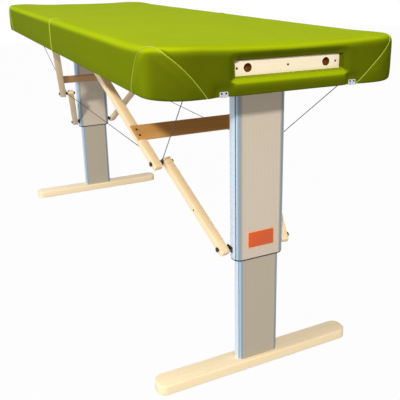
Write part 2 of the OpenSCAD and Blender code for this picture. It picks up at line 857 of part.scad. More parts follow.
cover(true);  // head_cover
foam(true);  // head_foam
deck(true);  // head_deck
side_rail(-1);  // head_rail_left
side_rail(1);  // head_rail_right
end_rail(true);  // head_end_rail
centre_rail();  // head_centre_rail
column_bracket();  // head_column_bracket
frame_brackets();  // head_brace_brackets
end_cables();  // head_end_cables
outer_profile();  // head_outer_profile
top_cap();  // head_top_cap
lift_tube();  // head_lift_tube
guide_bush();  // head_guide_bush
brace_shoes();  // head_brace_shoes
inner_profile();  // head_inner_profile
motor();  // head_motor
spindle();  // head_spindle
foot_beam();  // head_foot_beam
foot_pads();  // head_foot_pads
upper_brace();  // head_upper_brace_left
right_side() upper_brace();  // head_upper_brace_right
crossbar();  // head_crossbar
lower_brace();  // head_lower_brace_left
right_side() lower_brace();  // head_lower_brace_right
foot_end() cover(false);  // foot_cover
foot_end() foam(false);  // foot_foam
foot_end() deck(false);  // foot_deck
foot_end() side_rail(-1);  // foot_rail_left
foot_end() side_rail(1);  // foot_rail_right
foot_end() end_rail(false);  // foot_end_rail
foot_end() centre_rail();  // foot_centre_rail
foot_end() column_bracket();  // foot_column_bracket
foot_end() frame_brackets();  // foot_brace_brackets
foot_end() end_cables();  // foot_end_cables
foot_end() outer_profile();  // foot_outer_profile
foot_end() top_cap();  // foot_top_cap
foot_end() lift_tube();  // foot_lift_tube
foot_end() guide_bush();  // foot_guide_bush
foot_end() brace_shoes();  // foot_brace_shoes
foot_end() inner_profile();  // foot_inner_profile
foot_end() motor();  // foot_motor
foot_end() spindle();  // foot_spindle
foot_end() foot_beam();  // foot_foot_beam
foot_end() foot_pads();  // foot_foot_pads
foot_end() upper_brace();  // foot_upper_brace_left
foot_end() right_side() upper_brace();  // foot_upper_brace_right
foot_end() crossbar();  // foot_crossbar
foot_end() lower_brace();  // foot_lower_brace_left
foot_end() right_side() lower_brace();  // foot_lower_brace_right
headrest_board();
headrest_screws();
catch_plates();
control_case();  // control_box
handset_socket();
head_hinge_leaves();
foot_hinge_leaves();
hinge_pins();
knee_cables();
label_plate();
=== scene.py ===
import json
import math
from contextlib import contextmanager

import bmesh
import bpy
import numpy as np
from mathutils import Matrix, Vector, noise


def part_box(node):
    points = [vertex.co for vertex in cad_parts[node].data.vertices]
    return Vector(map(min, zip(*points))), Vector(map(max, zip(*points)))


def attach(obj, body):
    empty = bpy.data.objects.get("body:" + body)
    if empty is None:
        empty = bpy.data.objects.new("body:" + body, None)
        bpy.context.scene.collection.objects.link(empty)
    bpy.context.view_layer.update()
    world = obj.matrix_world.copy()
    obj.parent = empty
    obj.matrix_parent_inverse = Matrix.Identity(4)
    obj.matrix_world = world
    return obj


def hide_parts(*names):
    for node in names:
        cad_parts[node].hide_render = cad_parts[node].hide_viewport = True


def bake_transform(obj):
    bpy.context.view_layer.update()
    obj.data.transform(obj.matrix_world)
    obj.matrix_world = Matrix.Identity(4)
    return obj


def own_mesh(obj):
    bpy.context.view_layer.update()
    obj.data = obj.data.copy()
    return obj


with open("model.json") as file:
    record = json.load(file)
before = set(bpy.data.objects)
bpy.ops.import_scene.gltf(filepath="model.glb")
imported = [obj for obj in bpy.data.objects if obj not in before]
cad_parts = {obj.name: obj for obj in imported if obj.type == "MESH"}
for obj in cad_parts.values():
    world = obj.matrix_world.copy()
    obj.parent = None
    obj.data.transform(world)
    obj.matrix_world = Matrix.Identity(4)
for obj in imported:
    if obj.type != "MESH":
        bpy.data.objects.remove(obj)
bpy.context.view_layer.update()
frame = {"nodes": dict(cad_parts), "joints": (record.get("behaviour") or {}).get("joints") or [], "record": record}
bpy.ops.object.select_all(action="DESELECT")
nodes = frame["nodes"]
joints = {j["name"]: j for j in frame["joints"]}
print("frame loaded,", len(nodes), "nodes")

mm = 0.001
bothSides = ((-1, "left"), (1, "right"))


def toLinear(code):
    parts = [int(code[i:i + 2], 16) / 255 for i in (1, 3, 5)]
    linear = [c / 12.92 if c <= 0.04045 else ((c + 0.055) / 1.055) ** 2.4 for c in parts]
    return (*linear, 1)


# Camera at the photograph's viewing angle, in metres, radians and pixels of a 400 by 400 frame
camera = {
    "place": (2.105, -0.7284, 1.0457),
    "yaw": 1.0809,
    "pitch": 0.2993,
    "focalPixels": 609.84,
    "middlePixel": (242.39, 160.36),
    "imagePixels": 400,
    "sensor": 36,
}


def addCamera(spec):
    bpy.ops.object.camera_add(location=spec["place"], rotation=(math.pi / 2 - spec["pitch"], 0, spec["yaw"]))
    cam = bpy.context.object
    size = spec["imagePixels"]
    cam.data.sensor_width = spec["sensor"]
    cam.data.lens = spec["focalPixels"] / size * spec["sensor"]
    cam.data.shift_x = 0.5 - spec["middlePixel"][0] / size
    cam.data.shift_y = spec["middlePixel"][1] / size - 0.5
    cam.data.clip_end = 100
    bpy.context.scene.camera = cam


addCamera(camera)


# Studio: a pale floor, a white surround and three soft lamps
studio = {
    "floorSize": 16,
    "floorDrop": 0.3 * mm,
    "floorColour": "#9C9C9A",
    "floorGlow": 0.975,  # share of plain white in the floor, so that only a soft shadow is left
    "ambient": 0.3,
    "lamps": [
        # name, place, aims at, size, watts, colour
        ("overhead", (0.3, -2.0, 7.5), (0, 0, 0.8), 4.5, 240, "#FFFDF8"),
        ("leftWindow", (0.2, -3.6, 1.5), (0, 0, 0.5), 2.4, 48, "#E8F0FF"),
        ("frontLeft", (8.0, -4.6, 5.0), (0.4, 0, 0.5), 0.6, 790, "#FFF8EE"),
    ],
}


def addNode(tree, kind, settings={}, links={}):
    node = tree.nodes.new(kind)
    for key, value in settings.items():
        if hasattr(node, key):
            setattr(node, key, value)
        else:
            node.inputs[key].default_value = value
    for key, (source, output) in links.items():
        tree.links.new(source.outputs[output], node.inputs[key])
    return node


def whiteToTheEye(tree):
    # 1 for rays that go straight to the camera or off a shiny surface
    path = addNode(tree, "ShaderNodeLightPath")
    shiny = addNode(tree, "ShaderNodeMath", {"operation": "MAXIMUM"})
    tree.links.new(path.outputs["Is Glossy Ray"], shiny.inputs[0])
    tree.links.new(path.outputs["Is Transmission Ray"], shiny.inputs[1])
    seen = addNode(tree, "ShaderNodeMath", {"operation": "MAXIMUM"})
    tree.links.new(path.outputs["Is Camera Ray"], seen.inputs[0])
    tree.links.new(shiny.outputs[0], seen.inputs[1])
    return seen


def addStage(spec):
    world = bpy.data.worlds.new("studio")
    bpy.context.scene.world = world
    world.use_nodes = True
    tree = world.node_tree
    tree.nodes.clear()
    soft = addNode(tree, "ShaderNodeBackground", {"Color": (1, 1, 1, 1), "Strength": spec["ambient"]})
    white = addNode(tree, "ShaderNodeBackground", {"Color": (1, 1, 1, 1), "Strength": 1})
    seen = whiteToTheEye(tree)
    mix = addNode(tree, "ShaderNodeMixShader", {}, {"Fac": (seen, 0)})
    tree.links.new(soft.outputs[0], mix.inputs[1])
    tree.links.new(white.outputs[0], mix.inputs[2])
    addNode(tree, "ShaderNodeOutputWorld", {}, {"Surface": (mix, 0)})

    bpy.ops.mesh.primitive_plane_add(size=spec["floorSize"], location=(0, 0, -spec["floorDrop"]))
    floor = bpy.context.object
    floor.name = "studioFloor"
    paper = bpy.data.materials.new("matt paper floor")
    paper.use_nodes = True
    tree = paper.node_tree
    tree.nodes.clear()
    lit = addNode(tree, "ShaderNodeBsdfDiffuse", {"Color": toLinear(spec["floorColour"])})
    glow = addNode(tree, "ShaderNodeEmission", {"Strength": 1})
    seen = whiteToTheEye(tree)
    share = addNode(tree, "ShaderNodeMath", {"operation": "MULTIPLY"})
    tree.links.new(seen.outputs[0], share.inputs[0])
    share.inputs[1].default_value = spec["floorGlow"]
    mix = addNode(tree, "ShaderNodeMixShader", {}, {"Fac": (share, 0)})
    tree.links.new(lit.outputs[0], mix.inputs[1])
    tree.links.new(glow.outputs[0], mix.inputs[2])
    addNode(tree, "ShaderNodeOutputMaterial", {}, {"Surface": (mix, 0)})
    floor.data.materials.append(paper)

    for name, place, aim, size, watts, colour in spec["lamps"]:
        bpy.ops.object.light_add(type="AREA", location=place)
        lamp = bpy.context.object
        lamp.name = name
        lamp.data.size = size
        lamp.data.energy = watts
        lamp.data.color = toLinear(colour)[:3]
        lamp.rotation_euler = (Vector(aim) - Vector(place)).to_track_quat("-Z", "Y").to_euler()
    bpy.context.scene.view_settings.view_transform = "Standard"


addStage(studio)
print("camera and studio ready")


# Materials


def newMaterial(name, shader):
    material = bpy.data.materials.new(name)
    material.use_nodes = True
    tree = material.node_tree
    tree.nodes.clear()
    bsdf = addNode(tree, "ShaderNodeBsdfPrincipled", shader)
    addNode(tree, "ShaderNodeOutputMaterial", {}, {"Surface": (bsdf, "BSDF")})
    return material, tree, bsdf


def feed(tree, bsdf, **sources):
    # Links nodes' outputs to the shader's sockets
    for socket, (source, output) in sources.items():
        tree.links.new(source.outputs[output], bsdf.inputs[socket.replace("_", " ")])


def noiseOver(tree, place, scale, detail=2, roughness=0.5):
    # A noise over a place, with as many waves a metre along each axis as scale says
    stretched = addNode(tree, "ShaderNodeMapping", {"Scale": scale}, {"Vector": place})
    return addNode(tree, "ShaderNodeTexNoise", {"Scale": 1, "Detail": detail, "Roughness": roughness},
                   {"Vector": (stretched, "Vector")})


def ranged(tree, source, between, to):
    return addNode(tree, "ShaderNodeMapRange", {"From Min": between[0], "From Max": between[1],
                                                "To Min": to[0], "To Max": to[1]}, {"Value": source})


def mixOf(tree, share, first, second):
    # Two colours' mix: the first is a code or a node, and the second is a code
    mix = addNode(tree, "ShaderNodeMixRGB", {"Color2": toLinear(second)}, {"Fac": share})
    if isinstance(first, str):
        mix.inputs["Color1"].default_value = toLinear(first)
    else:
        tree.links.new(first.outputs[0], mix.inputs["Color1"])
    return mix


def bumpOf(tree, height, distance, strength):
    bump = addNode(tree, "ShaderNodeBump", {"Distance": distance, "Strength": strength}, {"Height": height})
    return bump, "Normal"


def paintedLightRamp(tree, stops):
    # A ramp of colours on the mesh's own measure, the attribute 'turned', of how far its skin has turned away:
    # painted shade, highlight and reflection
    turned = addNode(tree, "ShaderNodeAttribute", {"attribute_name": "turned"})
    tone = addNode(tree, "ShaderNodeValToRGB", {}, {"Fac": (turned, "Fac")})
    elements = tone.color_ramp.elements
    while len(elements) < len(stops):
        elements.new(0.5)
    for element, (position, code) in zip(elements, stops):
        element.position = position
        element.color = toLinear(code)
    return tone


def upholsteryVinyl():
    # Coated vinyl, embossed with a fine leather grain: matt and a little uneven. Its colour carries painted shade:
    # lighter on the top, darker on the upright faces and darkest at the ends, with a painted highlight along the
    # soft edge's crest and on the roll under the board
    material, tree, bsdf = newMaterial("embossed upholstery vinyl",
                                       {"Roughness": 0.6, "IOR": 1.5, "Specular IOR Level": 0.004})
    # painted shade by the attribute 'turned': the top, a slightly lighter painted highlight on the crest, the long
    # sides, the ends
    tone = paintedLightRamp(tree, [(0, "#9AAE08"), (0.12, "#9CB00C"), (0.42, "#6E7D08"), (1, "#545E07")])
    place = addNode(tree, "ShaderNodeTexCoord")
    cloud = noiseOver(tree, (place, "Object"), (7, 7, 7), 3)
    worn = ranged(tree, (cloud, "Fac"), (0.3, 0.7), (0, 0.14))
    uneven = mixOf(tree, (worn, "Result"), tone, "#7E8E06")
    grain = addNode(tree, "ShaderNodeTexVoronoi", {"Scale": 1 / (2.2 * mm), "Randomness": 0.9},
                    {"Vector": (place, "Object")})  # real grain is about 1 mm, drawn twice as coarse
    feed(tree, bsdf, Base_Color=(uneven, 0), Normal=bumpOf(tree, (grain, "Distance"), 0.25 * mm, 0.35))
    return material


def seamVinyl():
    # The same vinyl over a cord, a little shinier, with 3 mm stitches; its colour is painted paler than the pad as
    # a highlight along the cord, and darker where it turns down, as painted shade
    material, tree, bsdf = newMaterial("vinyl welt cord",
                                       {"Roughness": 0.5, "IOR": 1.5, "Specular IOR Level": 0.01})
    tone = paintedLightRamp(tree, [(0, "#A9BB38"), (0.42, "#93A52A"), (1, "#76861C")])
    place = addNode(tree, "ShaderNodeTexCoord")
    stitch = noiseOver(tree, (place, "Object"), [1 / (3 * mm)] * 3)
    thread = mixOf(tree, (stitch, "Fac"), tone, "#B4C450")
    feed(tree, bsdf, Base_Color=(thread, 0))
    return material


def lacqueredWood(name, pale, tan, dark, source, roughness):
    # Straight-grained hardwood under a clear satin lacquer: long soft bands with short dark pores
    material, tree, bsdf = newMaterial(name, {"Roughness": roughness, "IOR": 1.5})
    if source == "grain":
        place = addNode(tree, "ShaderNodeAttribute", {"attribute_name": "grain"}), "Vector"
    else:
        place = addNode(tree, "ShaderNodeTexCoord"), "Object"
    # bands about 14 mm wide and 330 mm long
    bands = noiseOver(tree, place, (3, 70, 70), 4, 0.6)
    tone = mixOf(tree, (bands, "Fac"), pale, tan)
    # pores about 0.9 mm wide and 17 mm long, which is a few times as coarse as real ones
    pores = noiseOver(tree, place, (60, 1100, 1100), 1)
    flecks = mixOf(tree, (ranged(tree, (pores, "Fac"), (0.62, 0.78), (0, 0.4)), 0), tone, dark)
    feed(tree, bsdf, Base_Color=(flecks, 0), Normal=bumpOf(tree, (pores, "Fac"), 0.06 * mm, 0.2))
    return material


def birchPly():
    # Sanded birch plywood: pale faces, with thin brown glue lines every 1.5 mm up the edges
    material, tree, bsdf = newMaterial("sanded birch plywood", {"Roughness": 0.6})
    place = addNode(tree, "ShaderNodeTexCoord")
    layers = addNode(tree, "ShaderNodeTexWave", {"bands_direction": "Z", "Scale": 1 / (3 * mm) / 6.3,
                                                 "Distortion": 0.6}, {"Vector": (place, "Object")})
    figure = noiseOver(tree, (place, "Object"), (4, 60, 60), 3)
    tone = mixOf(tree, (figure, "Fac"), "#EBD3A8", "#DDBD8A")
    mixed = mixOf(tree, (ranged(tree, (layers, "Fac"), (0, 1), (0, 0.3)), 0), tone, "#B98F5C")
    feed(tree, bsdf, Base_Color=(mixed, 0))
    return material


def dieLines(tree, bsdf, along, roughness):
    # Fine lines along the length, as the die leaves them: real ones are about 0.2 mm apart, drawn coarser
    place = addNode(tree, "ShaderNodeTexCoord")
    scale = [1 / (0.9 * mm)] * 3
    scale["XYZ".index(along)] = 4
    streaks = noiseOver(tree, (place, "Object"), scale)
    rough = ranged(tree, (streaks, "Fac"), (0, 1), (roughness - 0.06, roughness + 0.06))
    feed(tree, bsdf, Roughness=(rough, "Result"), Normal=bumpOf(tree, (streaks, "Fac"), 0.03 * mm, 0.25))


def drawnMetal(name, colour, roughness, along):
    # Extruded or drawn metal, with its die lines
    material, tree, bsdf = newMaterial(name, {"Metallic": 1, "Base Color": toLinear(colour)})
    dieLines(tree, bsdf, along, roughness)
    return material


def anodisedPaintedReflection(name, wide):
    # Satin anodised extrusion: warm grey on the fluted wide faces; round the corners and on the narrow sides a
    # painted reflection of a cool blue light, grey-blue then pale blue, and painted shade, dark navy, in the
    # corner grooves
    material, tree, bsdf = newMaterial(name, {"Metallic": 0.14})
    tone = paintedLightRamp(tree, [(0, wide), (0.1, "#A9A8A2"), (0.2, "#8E979C"), (0.33, "#8498A8"),
                             (0.47, "#B9D0E6"), (0.9, "#D3E6F5"), (1, "#2C4156")])
    feed(tree, bsdf, Base_Color=(tone, 0))
    dieLines(tree, bsdf, "Z", 0.38)
    return material


def specklePaint(name, low, high, roughness, metallic, grain):
    # A coat or moulding with a fine pebble texture, grain in millimetres
    material, tree, bsdf = newMaterial(name, {"Roughness": roughness, "Metallic": metallic})
    place = addNode(tree, "ShaderNodeTexCoord")
    speck = noiseOver(tree, (place, "Object"), [1 / (grain * mm)] * 3)
    tone = mixOf(tree, (speck, "Fac"), low, high)
    feed(tree, bsdf, Base_Color=(tone, 0), Normal=bumpOf(tree, (speck, "Fac"), 0.05 * mm, 0.3))
    return material


finish = {
    "vinyl": upholsteryVinyl(),
    "welt": seamVinyl(),
    "beech": lacqueredWood("lacquered beech", "#FBE8C6", "#F0D09E", "#C9965E", "grain", 0.4),
    # the crossbar's warmer beech, also painted darker as shade for where it sits under the table
    "oiledBeech": lacqueredWood("oiled beech board", "#D6A463", "#B07C3B", "#7A5424", "grain", 0.45),
    "ash": lacqueredWood("lacquered ash foot", "#FDEFD0", "#F6DDB0", "#D8AE78", "grain", 0.4),
    "maple": lacqueredWood("lacquered maple", "#FDF3E0", "#F8E8CB", "#E2C9A2", "grain", 0.35),
    # the bore sleeves' dark brown is painted shade for the shaded inside of the holes, drawn with a wood grain
    "boreShade": lacqueredWood("stained bore", "#7E4A12", "#663A10", "#3E220A", "object", 0.5),
    "plywood": birchPly(),
    "aluminium": drawnMetal("satin anodised aluminium", "#C4BAAE", 0.36, "Z"),
    "anodised": anodisedPaintedReflection("satin anodised extrusion", "#CDC2B2"),
    "anodisedInner": anodisedPaintedReflection("plain anodised extrusion", "#B2AA98"),
    "casting": specklePaint("cast aluminium", "#8B8C8E", "#A3A4A6", 0.45, 1, 0.8),
    "blackSteel": specklePaint("powder coated steel", "#1D1D1F", "#2B2B2E", 0.45, 0, 0.5),
    "bolt": specklePaint("blackened steel bolt", "#2A211A", "#3B3028", 0.35, 0.6, 0.6),
    "zinc": drawnMetal("zinc plated steel", "#CFD2D6", 0.24, "Y"),
    "cable": drawnMetal("stranded steel cable", "#55514D", 0.45, "X"),
    "blackPlastic": specklePaint("textured ABS", "#141416", "#1F1F22", 0.5, 0, 0.7),
    "rubber": specklePaint("matt rubber", "#191614", "#24201D", 0.75, 0, 0.6),
    "foam": specklePaint("open-cell foam", "#EFE7C9", "#F7F1DC", 0.9, 0, 1.2),
    "orange": specklePaint("orange enamel", "#D0500F", "#DA5A19", 0.3, 0, 0.8),
    "orangeRim": specklePaint("pale enamel rim", "#F0A880", "#F6B894", 0.35, 0, 0.8),
}
slotOf = {
    # a slot's first finish here is also the one that its CAD nodes get
    "vinyl": "vinyl", "welt": "vinyl", "beech": "beech", "oiledBeech": "beech", "ash": "beech",
    "maple": "maple", "plywood": "plywood", "boreShade": "plywood", "aluminium": "aluminium",
    "anodised": "aluminium", "anodisedInner": "aluminium", "casting": "cast_alloy",
    "blackSteel": "black_steel", "bolt": "black_steel", "zinc": "bright_steel", "cable": "steel_cable",
    "blackPlastic": "black_plastic", "rubber": "rubber", "foam": "foam", "orange": "orange_plate",
    "orangeRim": "orange_plate",
}
cadFinish = {s: f for f, s in reversed(slotOf.items())}
for part in frame["record"]["subparts"]:
    mesh = nodes[part["node"]].data
    mesh.materials.clear()
    mesh.materials.append(finish[cadFinish[part["material_slot"]]])
print("materials ready,", len(finish))


# Modelling helpers


def deselect():
    if bpy.context.object and bpy.context.object.mode != "OBJECT":
        bpy.ops.object.mode_set(mode="OBJECT")
    bpy.ops.object.select_all(action="DESELECT")


def pick(obj):
    deselect()
    obj.select_set(True)
    bpy.context.view_layer.objects.active = obj


@contextmanager
def editing(obj):
    pick(obj)
    bpy.ops.object.mode_set(mode="EDIT")
    yield
    bpy.ops.object.mode_set(mode="OBJECT")


def places(obj):
    flat = np.empty(len(obj.data.vertices) * 3)
    obj.data.vertices.foreach_get("co", flat)
    return flat.reshape(-1, 3)


def setPlaces(obj, co):
    obj.data.vertices.foreach_set("co", np.asarray(co, float).ravel())
    obj.data.update()


def applyModifier(obj, kind, **settings):
    pick(obj)
    modifier = obj.modifiers.new(kind.lower(), kind)
    for key, value in settings.items():
        setattr(modifier, key, value)
    bpy.ops.object.modifier_apply(modifier=modifier.name)


def applyPlace(obj):
    pick(obj)
    bpy.ops.object.transform_apply(location=True, rotation=True, scale=True)


def keepGrain(obj, place=None):
    # The piece's coordinates with the grain along the first axis of place
    local = (place or Matrix.Identity(4)).inverted()
    co = places(obj) @ np.array(local.to_3x3()).T + np.array(local.translation)
    shift = sum(ord(c) for c in obj.name) % 17
    grain = obj.data.attributes.new("grain", "FLOAT_VECTOR", "POINT")
    grain.data.foreach_set("vector", (co + [shift * 0.13, shift * 0.05, 0]).astype(np.float32).ravel())


# Stores the attribute 'turned' that the colour ramps read as painted shade, highlight and reflection
def keepPaintedLight(obj, value):
    obj.data.attributes.new("turned", "FLOAT", "POINT").data.foreach_set("value", value.astype(np.float32))


def smooth(obj, angle=40):
    pick(obj)
    bpy.ops.object.shade_smooth_by_angle(angle=math.radians(angle))


def box(name, size, middle=(0, 0, 0)):
    deselect()
    bpy.ops.mesh.primitive_cube_add(size=1, location=middle)
    obj = bpy.context.object
    obj.name = name
    obj.scale = size
    applyPlace(obj)
    return obj


def boxBetween(name, low, high):
    return box(name, high - low, (low + high) / 2)


def bevelEdges(obj, wanted, width, segments):
    # Bevels the edges whose direction and middle satisfy wanted(direction, middle)
    with editing(obj):
        bpy.ops.mesh.select_mode(type="EDGE")
        bpy.ops.mesh.select_all(action="DESELECT")
        mesh = bmesh.from_edit_mesh(obj.data)
        for edge in mesh.edges:
            a, b = edge.verts[0].co, edge.verts[1].co
            edge.select = wanted((b - a).normalized(), (a + b) / 2)
        bmesh.update_edit_mesh(obj.data)
        bpy.ops.mesh.bevel(offset=width, segments=segments, affect="EDGES")


def bevelAlong(obj, axis, width, segments):
    # Bevels the edges that run along one axis
    bevelEdges(obj, lambda way, middle: abs(getattr(way, axis)) > 0.99, width, segments)


def softenEdges(obj, width, segments=3):
    applyModifier(obj, "BEVEL", width=width, segments=segments, limit_method="ANGLE",
                  angle_limit=math.radians(35))
    smooth(obj)


def cutWith(obj, cutter):
    applyModifier(obj, "BOOLEAN", operation="DIFFERENCE", object=cutter, solver="EXACT")
    bpy.data.objects.remove(cutter)


def rod(name, radius, length, middle, axis, vertices=40):
    deselect()
    bpy.ops.mesh.primitive_cylinder_add(vertices=vertices, radius=radius, depth=length)
    obj = bpy.context.object
    obj.name = name
    obj.rotation_euler = Vector(axis).to_track_quat("Z", "Y").to_euler()
    obj.location = middle
    applyPlace(obj)
    return obj


def joined(name, parts):
    deselect()
    for part in parts:
        part.select_set(True)
    bpy.context.view_layer.objects.active = parts[0]
    if len(parts) > 1:
        bpy.ops.object.join()
    parts[0].name = name
    return parts[0]


def tube(name, points, radius, sides=10, lobes=0, lobeShare=0.0, pitch=0.0):
    # A tube along points; lobes twist round it like the strands of a cable, one turn per pitch
    points = np.array(points, float)
    tangent = np.gradient(points, axis=0)
    tangent /= np.linalg.norm(tangent, axis=1)[:, None]
    across = np.cross(tangent[0], [0.3, 0.2, 1.0])
    run = np.concatenate([[0], np.cumsum(np.linalg.norm(np.diff(points, axis=0), axis=1))])
    verts = []
    for p, t, s in zip(points, tangent, run):
        across = across - t * (across @ t)
        across /= np.linalg.norm(across)
        up = np.cross(t, across)
        twist = 2 * math.pi * s / pitch if pitch else 0
        for k in range(sides):
            a = 2 * math.pi * k / sides
            r = radius * (1 - lobeShare * (0.5 - 0.5 * math.cos(lobes * a)))
            verts.append(p + r * (math.cos(a + twist) * across + math.sin(a + twist) * up))
    n = len(points)
    step = [(i, (i + 1) % sides) for i in range(sides)]
    faces = [[k * sides + i, k * sides + j, (k + 1) * sides + j, (k + 1) * sides + i]
             for k in range(n - 1) for i, j in step]
    faces += [list(range(sides))[::-1], [(n - 1) * sides + i for i in range(sides)]]
    mesh = bpy.data.meshes.new(name)
    mesh.from_pydata([tuple(v) for v in verts], [], faces)
    obj = bpy.data.objects.new(name, mesh)
    bpy.context.scene.collection.objects.link(obj)
    smooth(obj, 60)
    return obj


def flip(obj):
    # Turns the piece into its mirror image at the other end of the table
    co = places(obj)
    co[:, 0] *= -1
    setPlaces(obj, co)
    with editing(obj):
        bpy.ops.mesh.select_all(action="SELECT")
        bpy.ops.mesh.flip_normals()


def mirrored(obj, name):
    copy = obj.copy()
    copy.data = obj.data.copy()
    copy.name = name
    bpy.context.scene.collection.objects.link(copy)
    flip(copy)
    return copy


def dress(obj, body, finishName, replaced=()):
    obj.data.materials.clear()
    obj.data.materials.append(finish[finishName])
    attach(obj, body)
    if replaced:
        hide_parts(*replaced)


def dressBothEnds(obj, base, body, finishName, replaced=()):
    # obj is made at the head end, and its mirror image is the foot end's piece
    far = mirrored(obj, "foot_" + base)
    obj.name = "head_" + base
    for end, piece in (("head", obj), ("foot", far)):
        dress(piece, f"{end}_{body}", finishName, [f"{end}_{n}" for n in replaced])
    return obj, far


# Upholstery: a vinyl skin over the foam, with a crown, a soft upper edge and gussets at the corners.
# Depths are measured in from the outline, and heights up from the skirt's lower edge.
pad = {
    "cornerR": 90 * mm,
    "edgeR": 17 * mm,
    "edgeSteps": 5,
    "straight": 89 * mm,  # height of the upright part under the round edge
    "border": [21 * mm, 26 * mm, 32 * mm, 40 * mm, 52 * mm, 64 * mm, 77 * mm],  # grid lines inside that edge
    "faceEdge": 4 * mm,  # the small edge where the two halves meet, and the grid lines there
    "faceLines": [0, 0.8 * mm, 2.4 * mm, 4 * mm, 14 * mm],
    "faceDraw": 0.4,  # share of the skirt's drawing in that this face has
    "coarse": 40 * mm,
    "fine": 13 * mm,
    "fineFrom": 790 * mm,
    "crown": 0.8 * mm,
    "crownRun": 60 * mm,
    "hollow": (28 * mm, 9 * mm, 1.8 * mm),  # behind the end's edge: its depth in, half width and drop
    "ridge": (11 * mm, 7 * mm, 1.4 * mm),  # before the hollow: depth in, half width and rise
    "cornerRise": 3.4 * mm,  # the end's corners rise, between these distances from the middle and the end
    "riseOver": (150 * mm, 260 * mm),
    "riseAlong": (-230 * mm, -50 * mm),
    "endSag": 3.5 * mm,  # the end's edge sags in the middle, where the vinyl is drawn in round the board
    "sagOver": (0, 215 * mm),
    "sagAlong": (-36 * mm, -11 * mm),
    "skin": 1.0 * mm,
    # height of each ring, and how far the skirt draws in there
    "rings": [(83, 0), (77, 0), (75.6, 0), (74.6, 0), (69, 0), (60, 0), (51, 0), (43, 0), (39.4, 0),
              (38.4, 0), (36.5, 0), (32, 0), (27, 0), (19, 0.3), (12, 0.8), (6, 1.6), (2.2, 2.6),
              (0.1, 4), (0.2, 9), (0.4, 26)],
    "pocketHalf": 141.2 * mm,
    "pocketLines": (-0.4 * mm, 0.4 * mm, 4 * mm),  # grid lines about its side walls
    "pocketLow": 38.4 * mm,
    "pocketHigh": 75.6 * mm,
    "pocketDeep": 28.5 * mm,
    "wave": (0.5 * mm, 90 * mm),  # unevenness of the foam under the skin: height and length
}
gusset = {
    # by side: its middle along the outline from the corner's 45 degree point, its height, and its half
    # length and power towards the end and towards the long side
    "arch": {-1: (-30 * mm, 111 * mm, (130 * mm, 1.7), (97 * mm, 2.1)),
             1: (-12 * mm, 114 * mm, (139 * mm, 1.2), (112 * mm, 1.9))},
    "valley": 1 * mm,
    "valleyHalf": 3.2 * mm,
    "puff": 1.6 * mm,
    "puffRun": 25 * mm,
    "reach": 200 * mm,
    "weltR": 1.1 * mm,
    "weltLift": 0.5 * mm,
}
middleWelt = {"r": 1.6 * mm, "in": 3 * mm, "over": 14 * mm, "lift": 0.3 * mm}


def rise(value, start, stop):
    # A smooth step from 0 at start to 1 at stop
    t = np.clip((value - start) / (stop - start), 0, 1)
    return t * t * (3 - 2 * t)


def bell(value, middle, half):
    return np.exp(-((value - middle) / half) ** 2)


def padLines(spec, x0, x1, halfW):
    edge = [spec["edgeR"] * (1 - math.cos(math.pi / 2 * k / spec["edgeSteps"]))
            for k in range(spec["edgeSteps"] + 1)]
    border, face = edge + spec["border"], spec["faceLines"]
    cornerX, cornerY = x1 - spec["cornerR"], halfW - spec["cornerR"]
    coarse = np.linspace(x0 + face[-1], spec["fineFrom"], round((spec["fineFrom"] - x0) / spec["coarse"]))
    fine = np.linspace(spec["fineFrom"], cornerX, round((cornerX - spec["fineFrom"]) / spec["fine"]) + 1)
    xs = [x0 + d for d in face[:-1]] + list(coarse) + list(fine[1:]) + [x1 - d for d in reversed(border)]
    support = [spec["pocketHalf"] + d for d in spec["pocketLines"]]
    side = list(np.linspace(0, support[0], 8)[1:-1]) + support
    side += list(np.linspace(support[-1], cornerY, 8)[1:])
    ys = [-halfW + d for d in border] + [-y for y in reversed(side)] + [0] + side
    ys += [halfW - d for d in reversed(border)]
    return xs, ys


def roundCorners(x, y, spec, x1, halfW):
    # Bends the square grid round the corners: places, the outline's outward direction, and the depth in
    r, side = spec["cornerR"], np.sign(y)
    cornerX, cornerY = x1 - r, halfW - r
    a, b = (x - cornerX) / r, (np.abs(y) - cornerY) / r
    corner = (a > 1e-6) & (b > 1e-6)
    m = np.maximum(a, b)
    with np.errstate(divide="ignore", invalid="ignore"):
        angle = np.where(a >= b, math.pi / 4 * b / a, math.pi / 2 - math.pi / 4 * a / b)
    angle = np.where(corner, angle, 0)
    nx = np.where(corner, np.cos(angle), np.where(x1 - x < halfW - np.abs(y), 1.0, 0.0))
    ny = np.where(corner, np.sin(angle), 1 - nx) * side
    depth = np.where(corner, r * (1 - m), np.minimum(x1 - x, halfW - np.abs(y)))
    px = np.where(corner, cornerX + m * r * np.cos(angle), x)
    py = np.where(corner, side * (cornerY + m * r * np.sin(angle)), y)
    return px, py, nx, ny, depth


def roundDrop(depth, r):
    t = np.clip(1 - depth / r, 0, 1)
    return r * (1 - np.sqrt(1 - t * t))


